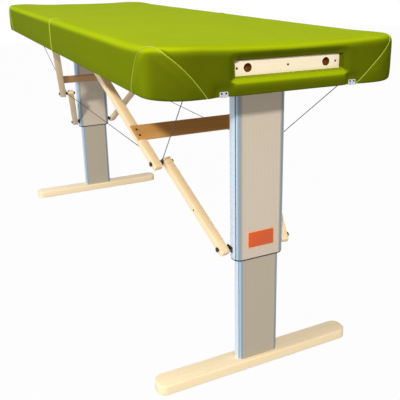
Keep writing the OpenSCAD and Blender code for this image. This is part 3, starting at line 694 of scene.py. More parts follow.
def padCage(spec, x0, x1, halfW, low, top):
    xs, ys = padLines(spec, x0, x1, halfW)
    deselect()
    bpy.ops.mesh.primitive_grid_add(x_subdivisions=len(xs) - 1, y_subdivisions=len(ys) - 1, size=2)
    obj = bpy.context.object
    with editing(obj):
        bpy.ops.mesh.select_mode(type="EDGE")
        bpy.ops.mesh.select_all(action="DESELECT")
        bpy.ops.mesh.select_non_manifold()
        for _ in spec["rings"]:
            bpy.ops.mesh.extrude_region_move(TRANSFORM_OT_translate={"value": (0, 0, -1)})

    co = places(obj)
    i = np.rint((co[:, 0] + 1) / 2 * (len(xs) - 1)).astype(int)
    j = np.rint((co[:, 1] + 1) / 2 * (len(ys) - 1)).astype(int)
    level = np.rint(-co[:, 2]).astype(int)
    x, y = np.array(xs)[i], np.array(ys)[j]
    px, py, nx, ny, depth = roundCorners(x, y, spec, x1, halfW)

    # The top: crown, round edges, and the ridge and hollow along the end
    fade = np.clip(1 - (depth - spec["edgeR"]) / spec["crownRun"], 0, 1)
    drop = np.hypot(roundDrop(depth, spec["edgeR"]), roundDrop(x - x0, spec["faceEdge"]))
    far, wide, down = spec["hollow"]
    near, narrow, up = spec["ridge"]
    swell = up * bell(depth, near, narrow) - down * bell(depth, far, wide)
    z = top - spec["crown"] * fade ** 2 - drop + swell * np.clip(nx, 0, 1)

    # The skirt, ring by ring
    heights, insets = np.array([(0, 0)] + spec["rings"]).T * mm
    inset = insets[level]
    onFace = (x - x0 < 1e-6) & (level > 0)
    px = np.where(onFace, px + spec["faceDraw"] * inset, px - nx * inset)
    py = np.where(onFace & (depth > 1e-6), py, py - ny * inset)
    z = np.where(level > 0, low + heights[level], z)
    atCorner = rise(np.abs(y), *spec["riseOver"]) * rise(x - x1, *spec["riseAlong"])
    atMiddle = (1 - rise(np.abs(y), *spec["sagOver"])) * rise(x - x1, *spec["sagAlong"])
    upper = np.clip((z - low - spec["pocketHigh"]) / (spec["straight"] - spec["pocketHigh"]), 0, 1)
    z += upper * (spec["cornerRise"] * atCorner - spec["endSag"] * atMiddle)
    setPlaces(obj, np.stack([px, py, z], 1))
    return obj


def sinkPocket(obj, spec, x1, low):
    # The board's pocket in the end: its floor is opened, and its walls go back past the board
    half, under, over = spec["pocketHalf"], low + spec["pocketLow"], low + spec["pocketHigh"]

    def inside(v):
        return v.co.x > x1 - 1 * mm and abs(v.co.y) < half and under + 0.5 * mm < v.co.z < over - 0.5 * mm

    with editing(obj):
        mesh = bmesh.from_edit_mesh(obj.data)
        floor = [f for f in mesh.faces if all(inside(v) for v in f.verts)]
        for v in mesh.verts:
            if inside(v):
                v.co.x = x1 - spec["pocketDeep"]
        bmesh.ops.delete(mesh, geom=floor, context="FACES")
        bmesh.update_edit_mesh(obj.data)


dimple = {"y": 167.5 * mm, "up": 7 * mm, "plateHalf": (11.5 * mm, 9 * mm), "reach": 13 * mm, "deep": 5.4 * mm}
roll = {
    "out": 5.4 * mm, "up": 19 * mm, "half": 13 * mm, "back": 5.4 * mm, "ends": (146 * mm, 157 * mm),
    "calm": 0.6,  # share by which the roll evens the dimples out
    # bright, brightAt, brightHalf, brightEnds: a painted highlight on the roll's upper side, its strength, height,
    # half width and ends
    "bright": 0.85, "brightAt": 30 * mm, "brightHalf": 9 * mm, "brightEnds": (140 * mm, 151 * mm),
}
# The vinyl draws in by this much beside and above the board, on the end only
sink = {"reach": 18 * mm, "side": 5.4 * mm, "above": 11 * mm, "aboveEnds": (126 * mm, 140 * mm),
        "aboveFrom": (-3 * mm, 1 * mm), "along": (-27 * mm, -13 * mm)}
endRail = {"back": 5.7 * mm, "near": 24 * mm, "half": 236 * mm, "low": 1.4 * mm, "high": 69 * mm}
# Painted shade on the vinyl as it turns down: power, the long sides' share, the corners' change from side to end,
# full end shade near the board
turn = {"power": 1.7, "side": 0.42, "between": (0.18, 0.48), "near": 40 * mm, "boardHalf": 175 * mm}


def pressEnd(co, spec, x1, low):
    # The vinyl draws in round the board, rolls out below it and dimples at the catch plates
    y, z = np.abs(co[:, 1]), co[:, 2] - low
    half, under, over = spec["pocketHalf"], spec["pocketLow"], spec["pocketHigh"]
    outside = np.hypot(np.clip(y - half, 0, None), np.clip(z - over, 0, None) + np.clip(under - z, 0, None))
    wall = (y < half) & (z > under + 0.3 * mm) & (z < over - 0.3 * mm)
    onEnd = np.where(wall, 0, rise(co[:, 0] - x1, *sink["along"]))
    above = rise(z - over, *sink["aboveFrom"]) * (1 - rise(y, *sink["aboveEnds"]))
    pull = (sink["side"] + (sink["above"] - sink["side"]) * above) * (1 - rise(outside, 0, sink["reach"]))
    rolled = (1 - rise(y, *roll["ends"])) * (z < under + 0.6 * mm)
    bulge = roll["out"] * bell(z, roll["up"], roll["half"]) - roll["back"] * rise(z, roll["up"], under)
    pull = pull * (1 - rolled) - bulge * rolled
    away = np.hypot(np.clip(np.abs(y - dimple["y"]) - dimple["plateHalf"][0], 0, None),
                    np.clip(np.abs(z - dimple["up"]) - dimple["plateHalf"][1], 0, None))
    press = dimple["deep"] * bell(away, 0, dimple["reach"])
    co[:, 0] -= onEnd * np.maximum(pull, press * (1 - rolled * roll["calm"]))
    return co


def keepOffRail(obj, spec, x1, low):
    # The end rail stands behind the skin, apart from the pocket
    co = places(obj)
    y, z = np.abs(co[:, 1]), co[:, 2] - low
    pocket = (y < spec["pocketHalf"] + 0.1 * mm) & (z > spec["pocketLow"] + 0.35 * mm)
    under = np.where(y > spec["pocketHalf"], spec["pocketHigh"], endRail["high"])
    before = (co[:, 0] > x1 - endRail["near"]) & (y < endRail["half"]) & (z > endRail["low"]) & (z < under)
    co[:, 0] = np.where(before & ~pocket, np.maximum(co[:, 0], x1 - endRail["back"]), co[:, 0])
    setPlaces(obj, co)


def gussetHeight(s, side):
    middle, height, (endHalf, endPower), (sideHalf, sidePower) = gusset["arch"][side]
    toEnd = np.clip((s - middle) / endHalf, 0, 1) ** endPower
    toSide = np.clip((middle - s) / sideHalf, 0, 1) ** sidePower
    return height * (1 - toEnd - toSide)


def gussetLine(side, count=90):
    middle, _, (endHalf, _), (sideHalf, _) = gusset["arch"][side]
    swing = np.sin(np.linspace(-math.pi / 2, math.pi / 2, count))
    s = middle + np.where(swing > 0, endHalf, sideHalf) * swing
    return np.stack([s, gussetHeight(s, side)], 1)


def onSkin(s, h, spec, x1, halfW, low, side):
    # A place on the corner's skin: s along the outline from its 45 degree point, h up over the soft edge
    r, edge, straight = spec["cornerR"], spec["edgeR"], spec["straight"]
    quarter = math.pi / 4 * r
    arc = min(max(0.0, h - straight) / edge, math.pi / 2)
    inset = edge * (1 - math.cos(arc)) + max(0.0, h - straight - edge * math.pi / 2)
    z = low + min(h, straight) + edge * math.sin(arc)
    if s < -quarter:
        return Vector((x1 - r - (-s - quarter), side * (halfW - inset), z))
    if s > quarter:
        return Vector((x1 - inset, side * (halfW - r - (s - quarter)), z))
    a = s / r - math.pi / 4 + math.pi / 2
    return Vector((x1 - r + (r - inset) * math.sin(a), side * (halfW - r + (r - inset) * math.cos(a)), z))


def skinCoordinates(co, spec, x1, halfW, low):
    r, edge, straight = spec["cornerR"], spec["edgeR"], spec["straight"]
    quarter = math.pi / 4 * r
    dx, dy = co[:, 0] - (x1 - r), np.abs(co[:, 1]) - (halfW - r)
    s = np.where(dx <= 0, dx - quarter, np.where(dy <= 0, quarter - dy,
                 r * (np.arctan2(np.clip(dx, 0, None), np.clip(dy, 1e-9, None)) - math.pi / 4)))
    radial = np.where((dx > 0) & (dy > 0), r - np.hypot(dx, dy), r - np.maximum(dx, dy))
    z = co[:, 2] - low
    arc = np.arccos(np.clip(1 - radial / edge, 0, 1)) * edge
    h = np.where(z > straight, straight + np.where(radial < edge, arc, math.pi / 2 * edge + radial - edge), z)
    return s, h


def skinNormals(obj):
    normal = np.empty(len(obj.data.vertices) * 3)
    obj.data.vertices.foreach_get("normal", normal)
    return normal.reshape(-1, 3)


def pressGussets(obj, spec, x1, halfW, low):
    co, normal = places(obj), skinNormals(obj)
    s, h = skinCoordinates(co, spec, x1, halfW, low)
    push = np.zeros(len(co))
    for side in gusset["arch"]:
        line = gussetLine(side)
        gap = np.full(len(co), 1.0)
        for a, b in zip(line[:-1], line[1:]):
            d = b - a
            t = np.clip(((s - a[0]) * d[0] + (h - a[1]) * d[1]) / (d @ d), 0, 1)
            gap = np.minimum(gap, np.hypot(s - a[0] - t * d[0], h - a[1] - t * d[1]))
        inside = h < gussetHeight(s, side)
        valley = gusset["valley"] * bell(gap, 0, gusset["valleyHalf"])
        puff = gusset["puff"] * rise(gap, 0, gusset["puffRun"]) * inside
        push = np.where((np.abs(s) < gusset["reach"]) & (co[:, 1] * side > 0), puff - valley, push)
    setPlaces(obj, co + normal * (push * rise(h, 0, 6 * mm))[:, None])


def wavePad(obj, amount, length):
    co = places(obj)
    wave = np.array([noise.noise(Vector(c) / length) for c in co])
    setPlaces(obj, co + skinNormals(obj) * (wave * amount)[:, None])


def markPaintedShade(obj, x1, low):
    # Painted shade by how far the skin has turned from the top: 0 on it, about 0.4 on the long sides and 1 at the
    # ends
    n, co = skinNormals(obj), places(obj)
    x, y, z = co[:, 0] - x1, np.abs(co[:, 1]), co[:, 2] - low
    toEnd = rise(np.abs(n[:, 0]) / (np.abs(n[:, 0]) + np.abs(n[:, 1]) + 1e-6), *turn["between"])
    toEnd = np.where((x > -turn["near"]) & (y < turn["boardHalf"]), 1, toEnd)
    value = (1 - np.clip(n[:, 2], 0, 1)) ** turn["power"] * (turn["side"] + (1 - turn["side"]) * toEnd)
    # a painted highlight on the upper side of the roll under the board: the value drops there
    onRoll = (1 - rise(y, *roll["brightEnds"])) * (x > -turn["near"])
    value *= 1 - roll["bright"] * onRoll * bell(z, roll["brightAt"], roll["brightHalf"])
    keepPaintedLight(obj, value)


def makeWelt(name, skin, points, lift, radius):
    # A cord along the points, each moved to the nearest place on the skin
    path = []
    for p in points:
        hit, where, normal = skin.closest_point_on_mesh(p)[:3]
        path.append(where + normal * lift if hit else p)
    return tube(name, path, radius, 8)


def middlePoints(spec, x, side, halfW, low, top):
    # Up the skirt beside the middle of the table, round the soft edge and in over the top
    edge, straight = spec["edgeR"], spec["straight"]
    points = [Vector((x, side * halfW, low + r)) for r in np.linspace(2 * mm, straight, 30)]
    points += [Vector((x, side * (halfW - edge * (1 - math.cos(a))), low + straight + edge * math.sin(a)))
               for a in np.linspace(0, math.pi / 2, 14)[1:]]
    return points + [Vector((x, side * (halfW - edge - d), top))
                     for d in np.linspace(0, middleWelt["over"], 8)[1:]]


def makePad(end):
    lowCorner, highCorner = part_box("head_cover")
    x0, x1 = lowCorner.x, highCorner.x
    halfW, low, top = highCorner.y, lowCorner.z, highCorner.z
    obj = padCage(pad, x0, x1, halfW, low, top)
    obj.name = f"{end}_cover_vinyl"
    if end == "head":
        sinkPocket(obj, pad, x1, low)
    applyModifier(obj, "SUBSURF", levels=2, render_levels=2)
    if end == "head":
        setPlaces(obj, pressEnd(places(obj), pad, x1, low))
    pressGussets(obj, pad, x1, halfW, low)
    wavePad(obj, *pad["wave"])
    if end == "head":
        keepOffRail(obj, pad, x1, low)
    pieces = [obj]
    for side, word in bothSides:
        guide = [onSkin(s, h, pad, x1, halfW, low, side) for s, h in gussetLine(side, 120)]
        pieces.append(makeWelt(f"{end}_gusset_welt_{word}", obj, guide, gusset["weltLift"], gusset["weltR"]))
        guide = middlePoints(pad, x0 + middleWelt["in"], side, halfW, low, top)
        pieces.append(makeWelt(f"{end}_middle_welt_{word}", obj, guide, middleWelt["lift"], middleWelt["r"]))
    applyModifier(obj, "SOLIDIFY", thickness=pad["skin"], offset=-1)
    for piece in pieces:
        markPaintedShade(piece, x1, low)
    smooth(obj, 50)
    if end == "foot":
        for piece in pieces:
            flip(piece)
    dress(obj, f"{end}_half", "vinyl", [f"{end}_cover", f"{end}_foam"])
    for welt in pieces[1:]:
        dress(welt, f"{end}_half", "welt")


for end in ("head", "foot"):
    makePad(end)
print("upholstery made")


# The folding frame's pivots at the head end, from the joints
pivots = {
    "upper": Vector(joints["head_upper_brace_turn"]["pos_m"]),
    "knee": Vector(joints["head_knee_right"]["pos_m"]),
}


def fastener(name, middle, axis, head, sides=4):
    # A low domed head of a radius, a height and a driver recess, from middle along axis
    radius, high, recess = head
    obj = rod(name, radius, high, (0, 0, high / 2), (0, 0, 1), 32)
    bevelEdges(obj, lambda way, mid: abs(way.z) < 0.1 and mid.z > high * 0.9, high * 0.6, 4)
    if recess:
        cutWith(obj, rod(name + "_recess", recess, high, (0, 0, high * 0.95), (0, 0, 1), sides))
    turned = Vector(axis).to_track_quat("Z", "Y").to_matrix().to_4x4()
    obj.data.transform(Matrix.Translation(middle) @ turned)
    smooth(obj, 30)
    return obj


def screwHeads(name, spots, axis, spec, body, replaced):
    # The heads of one row of screws, as one piece
    dress(joined(name, [fastener("head", spot, axis, spec["screw"]) for spot in spots]), body, "bolt", replaced)


bars = {
    "width": 24 * mm, "thick": 19 * mm, "beyondTop": 13 * mm, "beyondEnd": 18 * mm, "endRound": 5 * mm,
    "edge": 1.3 * mm,
    "upperY": 277 * mm, "kneeUpperY": 184 * mm, "kneeLowerY": 150 * mm,
    "stud": (800 * mm, 92 * mm, 357 * mm),
    "bore": 4.15 * mm, "boltR": 4 * mm, "head": (6.5 * mm, 3 * mm, 2.6 * mm),  # radius, height, recess
    "kneeInner": 135.6 * mm, "kneeOuter": 198.3 * mm, "studSeat": 74.3 * mm, "studIn": 77 * mm,
    "studOuter": 106.4 * mm, "eyeY": 167 * mm, "eyeR": 9 * mm, "eyeThick": 2 * mm,
    "kerf": (24 * mm, 2.2 * mm, 2 * mm),  # from the bar's upper end, its width, its depth
    "smallScrewAt": 0.56,  # share of the lower bar
    "screw": (2.6 * mm, 1.1 * mm, 1 * mm),
}
crossbarSize = {"high": 52 * mm, "thick": 6 * mm, "proud": 2 * mm, "share": 0.78, "edge": 1.2 * mm,
                "screw": (3.5 * mm, 0.9 * mm, 1.3 * mm), "screwsAt": (-0.2, 0.2)}


def barPlace(a, b):
    run = b - a
    flat = math.hypot(run.x, run.y)
    yaw, pitch = math.atan2(run.y, run.x), -math.atan2(run.z, flat)
    return Matrix.Translation(a) @ Matrix.Rotation(yaw, 4, "Z") @ Matrix.Rotation(pitch, 4, "Y"), run.length


def makeBar(name, a, b, spec):
    place, length = barPlace(a, b)
    top, end = spec["beyondTop"], spec["beyondEnd"]
    obj = box(name, (length + top + end, spec["width"], spec["thick"]), ((length + end - top) / 2, 0, 0))
    bevelAlong(obj, "y", spec["endRound"], 5)
    softenEdges(obj, spec["edge"], 2)
    return obj, place


def boreAcross(obj, middle, radius):
    cutWith(obj, rod(obj.name + "_bore", radius, 80 * mm, middle, (0, 1, 0), 24))


def braceSlope():
    # The upper braces' slope and their length along it, seen from the side
    upper, knee, stud = pivots["upper"], pivots["knee"], bars["stud"]
    slope = math.atan2(upper.z - stud[2], stud[0] - upper.x)
    return slope, (knee.x - upper.x) / math.cos(slope)


def slopePlace(spec):
    # The crossbar's place on the slope of the upper braces
    slope, long = braceSlope()
    upper, along = pivots["upper"], long * spec["share"]
    middle = Vector((upper.x + along * math.cos(slope), 0, upper.z - along * math.sin(slope)))
    lift = bars["thick"] / 2 + spec["proud"] - spec["thick"]
    return Matrix.Translation(middle) @ Matrix.Rotation(slope, 4, "Y") @ Matrix.Translation((0, 0, lift))


def crossEdge(down):
    # Half the distance over the upper braces' outer faces, down the slope from the crossbar's middle
    reach = pivots["knee"].x - pivots["upper"].x
    lean = math.atan((bars["upperY"] - bars["kneeUpperY"]) / reach)
    share = crossbarSize["share"] + down / braceSlope()[1]
    return bars["upperY"] + (bars["kneeUpperY"] - bars["upperY"]) * share + bars["width"] / 2 / math.cos(lean)


def boltAcross(spec, x, z, side, inner, outer):
    # A shank across the table between two distances from its middle, with a head at the outer one
    shank = rod("shank", spec["boltR"], outer - inner, (x, side * (outer + inner) / 2, z), (0, 1, 0), 24)
    return [shank, fastener("outerHead", (x, side * outer, z), (0, side, 0), spec["head"], 6)]


def makeUpperBraces():
    upper, knee = pivots["upper"], pivots["knee"]
    spec, cross = bars, crossbarSize
    for side, word in bothSides:
        a = Vector((upper.x, side * spec["upperY"], upper.z))
        b = Vector((knee.x, side * spec["kneeUpperY"], knee.z))
        name = f"upper_brace_{word}"
        obj, place = makeBar(f"head_{name}_wood", a, b, spec)
        obj.data.transform(place)
        cutter = box("notch", (cross["high"], 900 * mm, 40 * mm), (0, 0, 20 * mm))
        cutter.data.transform(slopePlace(cross))
        cutWith(obj, cutter)
        boreAcross(obj, b, spec["bore"])
        boreAcross(obj, a, spec["bore"])
        keepGrain(obj, place)
        smooth(obj, 30)
        dressBothEnds(obj, f"{name}_wood", "upper_braces", "beech", [name])

        parts = boltAcross(spec, knee.x, knee.z, side, spec["kneeInner"], spec["kneeOuter"])
        parts.append(fastener("innerHead", (knee.x, side * spec["kneeInner"], knee.z), (0, -side, 0),
                              (*spec["head"][:2], 0)))
        eye = rod("eye", spec["eyeR"], spec["eyeThick"], (knee.x, side * spec["eyeY"], knee.z), (0, 1, 0), 32)
        softenEdges(eye, 0.5 * mm, 2)
        parts.append(eye)
        dressBothEnds(joined("knee_bolt", parts), f"knee_bolt_{word}", "upper_braces", "bolt", [name])


def makeCrossbar():
    spec = crossbarSize
    place = slopePlace(spec)
    obj = box("head_crossbar_wood", (spec["high"], 1, spec["thick"]), (0, 0, spec["thick"] / 2))
    co = places(obj)
    co[:, 1] = [math.copysign(crossEdge(x), y) for x, y in co[:, :2]]
    setPlaces(obj, co)
    softenEdges(obj, spec["edge"], 3)
    spots = [(down * spec["high"], side * (crossEdge(down * spec["high"]) - bars["width"] / 2))
             for side in (-1, 1) for down in spec["screwsAt"]]
    for x, y in spots:
        cutWith(obj, rod("seat", spec["screw"][0] + 0.15 * mm, 4 * mm, (x, y, spec["thick"] + 1 * mm),
                         (0, 0, 1), 24))
    obj.data.transform(place)
    keepGrain(obj, Matrix.Rotation(math.pi / 2, 4, "Z"))
    smooth(obj, 30)
    dressBothEnds(obj, "crossbar_wood", "upper_braces", "oiledBeech", ["crossbar"])
    screws = joined("screws", [fastener("head", (x, y, spec["thick"] - 1 * mm), (0, 0, 1), spec["screw"])
                               for x, y in spots])
    screws.data.transform(place)
    dressBothEnds(screws, "crossbar_screws", "upper_braces", "bolt", ["crossbar"])


def makeLowerBraces():
    knee, spec = pivots["knee"], bars
    for side, word in bothSides:
        a = Vector((knee.x, side * spec["kneeLowerY"], knee.z))
        b = Vector((spec["stud"][0], side * spec["stud"][1], spec["stud"][2]))
        name = f"lower_brace_{word}"
        obj, place = makeBar(f"head_{name}_wood", a, b, spec)
        start, wide, deep = spec["kerf"]
        for up in (1, -1):
            cutWith(obj, box("kerf", (wide, 60 * mm, 2 * deep),
                             (start - spec["beyondTop"], 0, up * spec["thick"] / 2)))
        obj.data.transform(place)
        boreAcross(obj, a, spec["bore"])
        boreAcross(obj, b, spec["bore"])
        keepGrain(obj, place)
        smooth(obj, 30)
        dressBothEnds(obj, f"{name}_wood", name, "beech", [name])

        parts = boltAcross(spec, b.x, b.z, side, spec["studSeat"], spec["studOuter"])
        spacer = rod("spacer", spec["head"][0], spec["studIn"] - spec["studSeat"],
                     (b.x, side * (spec["studIn"] + spec["studSeat"]) / 2, b.z), (0, 1, 0), 32)
        softenEdges(spacer, 0.4 * mm, 2)
        parts.append(spacer)
        face = place @ Vector(((b - a).length * spec["smallScrewAt"], side * (spec["width"] / 2 - 0.5 * mm), 0))
        out = (place.to_3x3() @ Vector((0, side, 0))).normalized()
        parts.append(fastener("smallScrew", face, out, spec["screw"]))
        dressBothEnds(joined("stud", parts), f"stud_{word}", name, "bolt", [name])


makeUpperBraces()
makeCrossbar()
makeLowerBraces()
print("braces made")


# Telescopic column: two extruded profiles with fine flutes on the wide faces, and a groove in each round
# corner, between the two angles given, so deep
columnX = 817 * mm
flute = ((0.16, 0), (0.38, 1), (0.62, 1), (0.84, 0))  # share of a pitch, share of the depth
fluteMargin = 2 * mm
profiles = {
    "outer": {"half": (24 * mm, 72.5 * mm), "round": 20 * mm, "wall": 3 * mm, "pitch": 3.95 * mm,
              "deep": 0.3 * mm, "groove": (52, 61, 2.2 * mm), "body": "column", "finish": "anodised"},
    "inner": {"half": (19 * mm, 61 * mm), "round": 16 * mm, "wall": 2.5 * mm, "pitch": 3.95 * mm,
              "deep": 0.3 * mm, "groove": (52, 62, 1.8 * mm), "body": "lift", "finish": "anodisedInner"},
}


def profileOutline(spec):
    hx, hy = spec["half"]
    r = spec["round"]
    start, stop, sunk = spec["groove"]
    turns = [(a, r) for a in (0, 9, 18, 27, 36, 45, start)] + [(start + 0.5, r - sunk), (stop - 0.5, r - sunk)]
    turns += [(a, r) for a in (stop, 68, 76, 84, 90)]
    arc = [(math.cos(math.radians(a)) * reach, math.sin(math.radians(a)) * reach) for a, reach in turns]
    first, fluted = r + fluteMargin - hy, 2 * (hy - r - fluteMargin)
    count = round(fluted / spec["pitch"])
    wide = [(first + (k + share) * fluted / count, -spec["deep"] * cut)
            for k in range(count) for share, cut in flute]
    points = [(hx + d, y) for y, d in wide]
    points += [(hx - r + c, hy - r + s) for c, s in arc]
    points += [(-hx + r - c, hy - r + s) for c, s in reversed(arc)]
    points += [(-hx - d, -y) for y, d in wide]
    points += [(-hx + r - c, -hy + r - s) for c, s in arc]
    points += [(hx - r + c, -hy + r - s) for c, s in reversed(arc)]
    return points


def makeProfile(word, spec):
    low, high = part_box(f"head_{word}_profile")
    outline = profileOutline(spec)
    deselect()
    bpy.ops.mesh.primitive_circle_add(vertices=len(outline), radius=1)
    obj = bpy.context.object
    setPlaces(obj, [(columnX + x, y, low.z) for x, y in outline])
    with editing(obj):
        bpy.ops.mesh.select_all(action="SELECT")
        bpy.ops.mesh.extrude_region_move(TRANSFORM_OT_translate={"value": (0, 0, high.z - low.z)})
        bpy.ops.mesh.select_all(action="SELECT")
        bpy.ops.mesh.normals_make_consistent(inside=False)
    applyModifier(obj, "SOLIDIFY", thickness=spec["wall"], offset=-1)
    # 0 on the wide faces, rising round the corners to 0.9 on the narrow sides, and 1 in their grooves: the ramp's
    # painted reflection and groove shade
    co, r = places(obj), spec["round"]
    cx = np.abs(co[:, 0] - columnX) - (spec["half"][0] - r)
    cy = np.abs(co[:, 1]) - (spec["half"][1] - r)
    value = 0.9 * np.arctan2(np.clip(cy, 0, None), np.clip(cx, 1e-9, None)) / (math.pi / 2)
    start, stop, sunk = spec["groove"]
    inGroove = (value > 0.01 * start) & (value < 0.01 * stop) & (np.hypot(cx, cy) < r - 0.8 * sunk)
    keepPaintedLight(obj, np.where(inGroove, 1, value))
    smooth(obj, 25)
    dressBothEnds(obj, f"{word}_profile_fluted", spec["body"], spec["finish"], [f"{word}_profile"])


for word, spec in profiles.items():
    makeProfile(word, spec)

footBeam = {"cornerR": 24 * mm, "edge": 3 * mm}


def makeFootBeam(spec):
    low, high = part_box("head_foot_beam")
    obj = boxBetween("head_foot_beam_wood", low, high)
    bevelAlong(obj, "z", spec["cornerR"], 10)
    softenEdges(obj, spec["edge"], 4)
    keepGrain(obj, Matrix.Translation((low + high) / 2) @ Matrix.Rotation(math.pi / 2, 4, "Z"))
    dressBothEnds(obj, "foot_beam_wood", "lift", "ash", ["foot_beam"])


makeFootBeam(footBeam)

label = {"corner": 3 * mm, "rim": 2.2 * mm, "step": 0.35 * mm}


def makeLabel(spec):
    low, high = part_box("label_plate")
    for name, inset, x0, x1, finishName in (
            ("label_rim", 0, low.x, high.x - spec["step"], "orangeRim"),
            ("label_face", spec["rim"], high.x - spec["step"], high.x, "orange")):
        obj = boxBetween(name, Vector((x0, low.y + inset, low.z + inset)),
                         Vector((x1, high.y - inset, high.z - inset)))
        bevelAlong(obj, "x", spec["corner"], 6)
        softenEdges(obj, min(0.15 * mm, (x1 - x0) / 3), 2)
        dress(obj, "head_column", finishName, ["label_plate"])


makeLabel(label)
print("columns, feet and plate made")


board = {"edge": 1.2 * mm, "corner": 1.5 * mm, "holeY": 102 * mm, "holeR": 10 * mm, "screwShare": 0.915,
         "screw": (2.6 * mm, 1.2 * mm, 1.5 * mm), "linerWall": 0.8 * mm, "linerBack": 938.6 * mm}
catchPlate = {"plate": (3 * mm, 21 * mm, 13 * mm), "corner": 3 * mm, "edge": 0.5 * mm,
              "screw": (2.4 * mm, 0.9 * mm, 1.1 * mm)}


def makeBoard(spec):
    low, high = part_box("headrest_board")
    middle = (low + high) / 2
    obj = boxBetween("headrest_board_maple", low, high)
    bevelAlong(obj, "x", spec["corner"], 3)
    softenEdges(obj, spec["edge"], 3)
    front, back = high.x - 0.4 * mm, spec["linerBack"]
    for side, word in bothSides:
        y = side * spec["holeY"]
        cutWith(obj, rod("hole", spec["holeR"], 40 * mm, (middle.x, y, middle.z), (1, 0, 0), 48))
        # A thin dark brown sleeve in each hole: painted shade for the shaded inside of the bore
        liner = rod(f"headrest_bore_{word}", spec["holeR"] - 0.05 * mm, front - back,
                    ((front + back) / 2, y, middle.z), (1, 0, 0), 48)
        cutWith(liner, rod("inside", spec["holeR"] - spec["linerWall"], 60 * mm,
                           (back + spec["linerWall"] + 30 * mm, y, middle.z), (1, 0, 0), 48))
        smooth(liner, 30)
        dress(liner, "head_half", "boreShade")
    screwYs = [s * spec["screwShare"] * (high.y - low.y) / 2 for s in (-1, 0, 1)]
    for y in screwYs:
        cutWith(obj, rod("seat", spec["screw"][0] + 0.2 * mm, 4 * mm, (high.x, y, middle.z), (1, 0, 0), 24))
    smooth(obj, 30)
    keepGrain(obj, Matrix.Translation(middle) @ Matrix.Rotation(math.pi / 2, 4, "Z"))
    dress(obj, "head_half", "maple", ["headrest_board"])
    screwHeads("headrest_board_screws", [(high.x - 1.4 * mm, y, middle.z) for y in screwYs], (1, 0, 0), spec,
               "head_half", ["headrest_screws"])


def makeCatchPlates(spec):
    low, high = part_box("catch_plates")
    deep, wide, tall = spec["plate"]
    for side, word in bothSides:
        y = side * (high.y - wide / 2)
        z = (low.z + high.z) / 2
        plate = box("plate", (deep, wide, tall), (low.x + deep / 2, y, z))
        bevelAlong(plate, "x", spec["corner"], 5)
        softenEdges(plate, spec["edge"], 2)
        tongue = box("tongue", (high.x - low.x - deep, wide / 2, tall / 3),
                     ((low.x + deep + high.x) / 2, y, z - tall / 3))
        softenEdges(tongue, spec["edge"], 2)
        dress(joined(f"catch_plate_{word}", [plate, tongue]), "head_half", "zinc", ["catch_plates"])
        spots = [(low.x + deep - 0.3 * mm, y + s * wide / 4, z + tall / 5) for s in (-1, 1)]
        screwHeads(f"catch_screws_{word}", spots, (1, 0, 0), spec, "head_half", ["catch_plates"])


makeBoard(board)
makeCatchPlates(catchPlate)

controlBox = {"corner": 9 * mm, "edge": 2 * mm, "lidLine": 12 * mm, "lidGap": (1 * mm, 1.2 * mm),
              "socketR": 8.2 * mm, "socketIn": 8 * mm, "screw": (3 * mm, 1.2 * mm, 1.3 * mm),
              "screwIn": 12 * mm}


def makeControlBox(spec):
    low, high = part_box("control_box")
    size, middle = high - low, (low + high) / 2
    obj = boxBetween("control_box_case", low, high)
    bevelAlong(obj, "z", spec["corner"], 6)
    softenEdges(obj, spec["edge"], 3)
    lid = (middle.x, middle.y, low.z + spec["lidLine"])
    gap, deep = spec["lidGap"]
    groove = box("groove", (size.x + 20 * mm, size.y + 20 * mm, gap), lid)
    core = box("core", (size.x - 2 * deep, size.y - 2 * deep, 3 * gap), lid)
    bevelAlong(core, "z", spec["corner"], 6)
    cutWith(groove, core)
    cutWith(obj, groove)
    socketLow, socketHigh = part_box("handset_socket")
    for y in (socketLow.y + spec["socketIn"], socketHigh.y - spec["socketIn"]):
        cutWith(obj, rod("seat", spec["socketR"], 20 * mm,
                         (low.x, y, (socketLow.z + socketHigh.z) / 2), (1, 0, 0), 40))
    smooth(obj, 30)
    dress(obj, "head_half", "blackPlastic", ["control_box"])
    inset = spec["screwIn"]
    spots = [(x, y, low.z + 0.4 * mm)
             for x in (low.x + inset, high.x - inset) for y in (low.y + inset, high.y - inset)]
    screwHeads("control_box_screws", spots, (0, 0, -1), spec, "head_half", ["control_box"])


makeControlBox(controlBox)
print("headrest board, catch plates and control box made")


# Stranded cables, with a ferrule and a loop at each end that takes a pull
cableSize = {"r": 1.25 * mm, "pitch": 16 * mm, "ring": 2.5 * mm, "ferruleR": 2 * mm, "ferruleLong": 12 * mm,
             "loopR": 4.5 * mm, "anchor": (894 * mm, 221 * mm, 801 * mm), "eyeR": 9.3 * mm, "hookR": 3.3 * mm}


def strand(name, a, b, spec):
    count = max(12, round((b - a).length / spec["ring"]))
    points = [a.lerp(b, k / count) for k in range(count + 1)]
    return tube(name, points, spec["r"], 12, 6, 0.22, spec["pitch"])


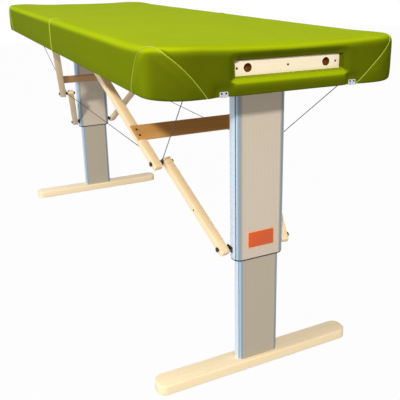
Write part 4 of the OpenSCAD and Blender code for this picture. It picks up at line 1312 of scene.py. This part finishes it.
def ferrule(middle, way, spec):
    part = rod("ferrule", spec["ferruleR"], spec["ferruleLong"], middle, way, 20)
    softenEdges(part, 0.6 * mm, 3)
    return part


def loop(middle, axis, spec):
    deselect()
    bpy.ops.mesh.primitive_torus_add(major_radius=spec["loopR"], minor_radius=spec["r"] * 0.9,
                                     major_segments=28, minor_segments=10)
    part = bpy.context.object
    part.rotation_euler = Vector(axis).to_track_quat("Z", "Y").to_euler()
    part.location = middle
    applyPlace(part)
    smooth(part, 60)
    return part


def makeEndCables(spec):
    knee = pivots["knee"]
    for side, word in bothSides:
        eye = Vector((knee.x, side * bars["eyeY"], knee.z))
        x, y, z = spec["anchor"]
        hook = Vector((x, side * y, z))
        way = (hook - eye).normalized()
        a, b = eye + way * spec["eyeR"], hook - way * (spec["hookR"] + spec["loopR"])
        parts = [strand("cable", a, b, spec),
                 ferrule(a + way * spec["ferruleLong"], way, spec),
                 ferrule(b - way * spec["ferruleLong"] * 0.6, way, spec),
                 loop(hook - way * (spec["loopR"] - 1 * mm), way.cross(Vector((0, 1, 0))).cross(way), spec)]
        near = joined(f"head_end_cable_{word}", parts)
        far = mirrored(near, f"foot_end_cable_{word}")
        for end, sign, piece in (("head", 1, near), ("foot", -1, far)):
            dress(piece, f"{end}_half", "cable", [f"{end}_end_cables"])
            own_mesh(piece)


def makeKneeCables(spec):
    knee, quiet = pivots["knee"], 350 * mm
    for side, word in bothSides:
        y = side * bars["eyeY"]
        across, a, b = (Vector((x, y, knee.z)) for x in (-quiet, quiet, knee.x - spec["eyeR"]))
        middle = strand(f"knee_cable_middle_{word}", across, a, spec)
        crimp = ferrule(b - Vector((spec["ferruleLong"], 0, 0)), (1, 0, 0), spec)
        near = joined(f"head_knee_cable_{word}", [strand("cable", a, b, spec), crimp])
        far = mirrored(near, f"foot_knee_cable_{word}")
        for piece in (middle, near, far):
            piece.data.materials.clear()
            piece.data.materials.append(finish["cable"])
            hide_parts("knee_cables")
        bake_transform(middle)
        for end, sign, piece in (("head", 1, near), ("foot", -1, far)):
            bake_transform(piece)


makeEndCables(cableSize)
makeKneeCables(cableSize)
print("cables made")
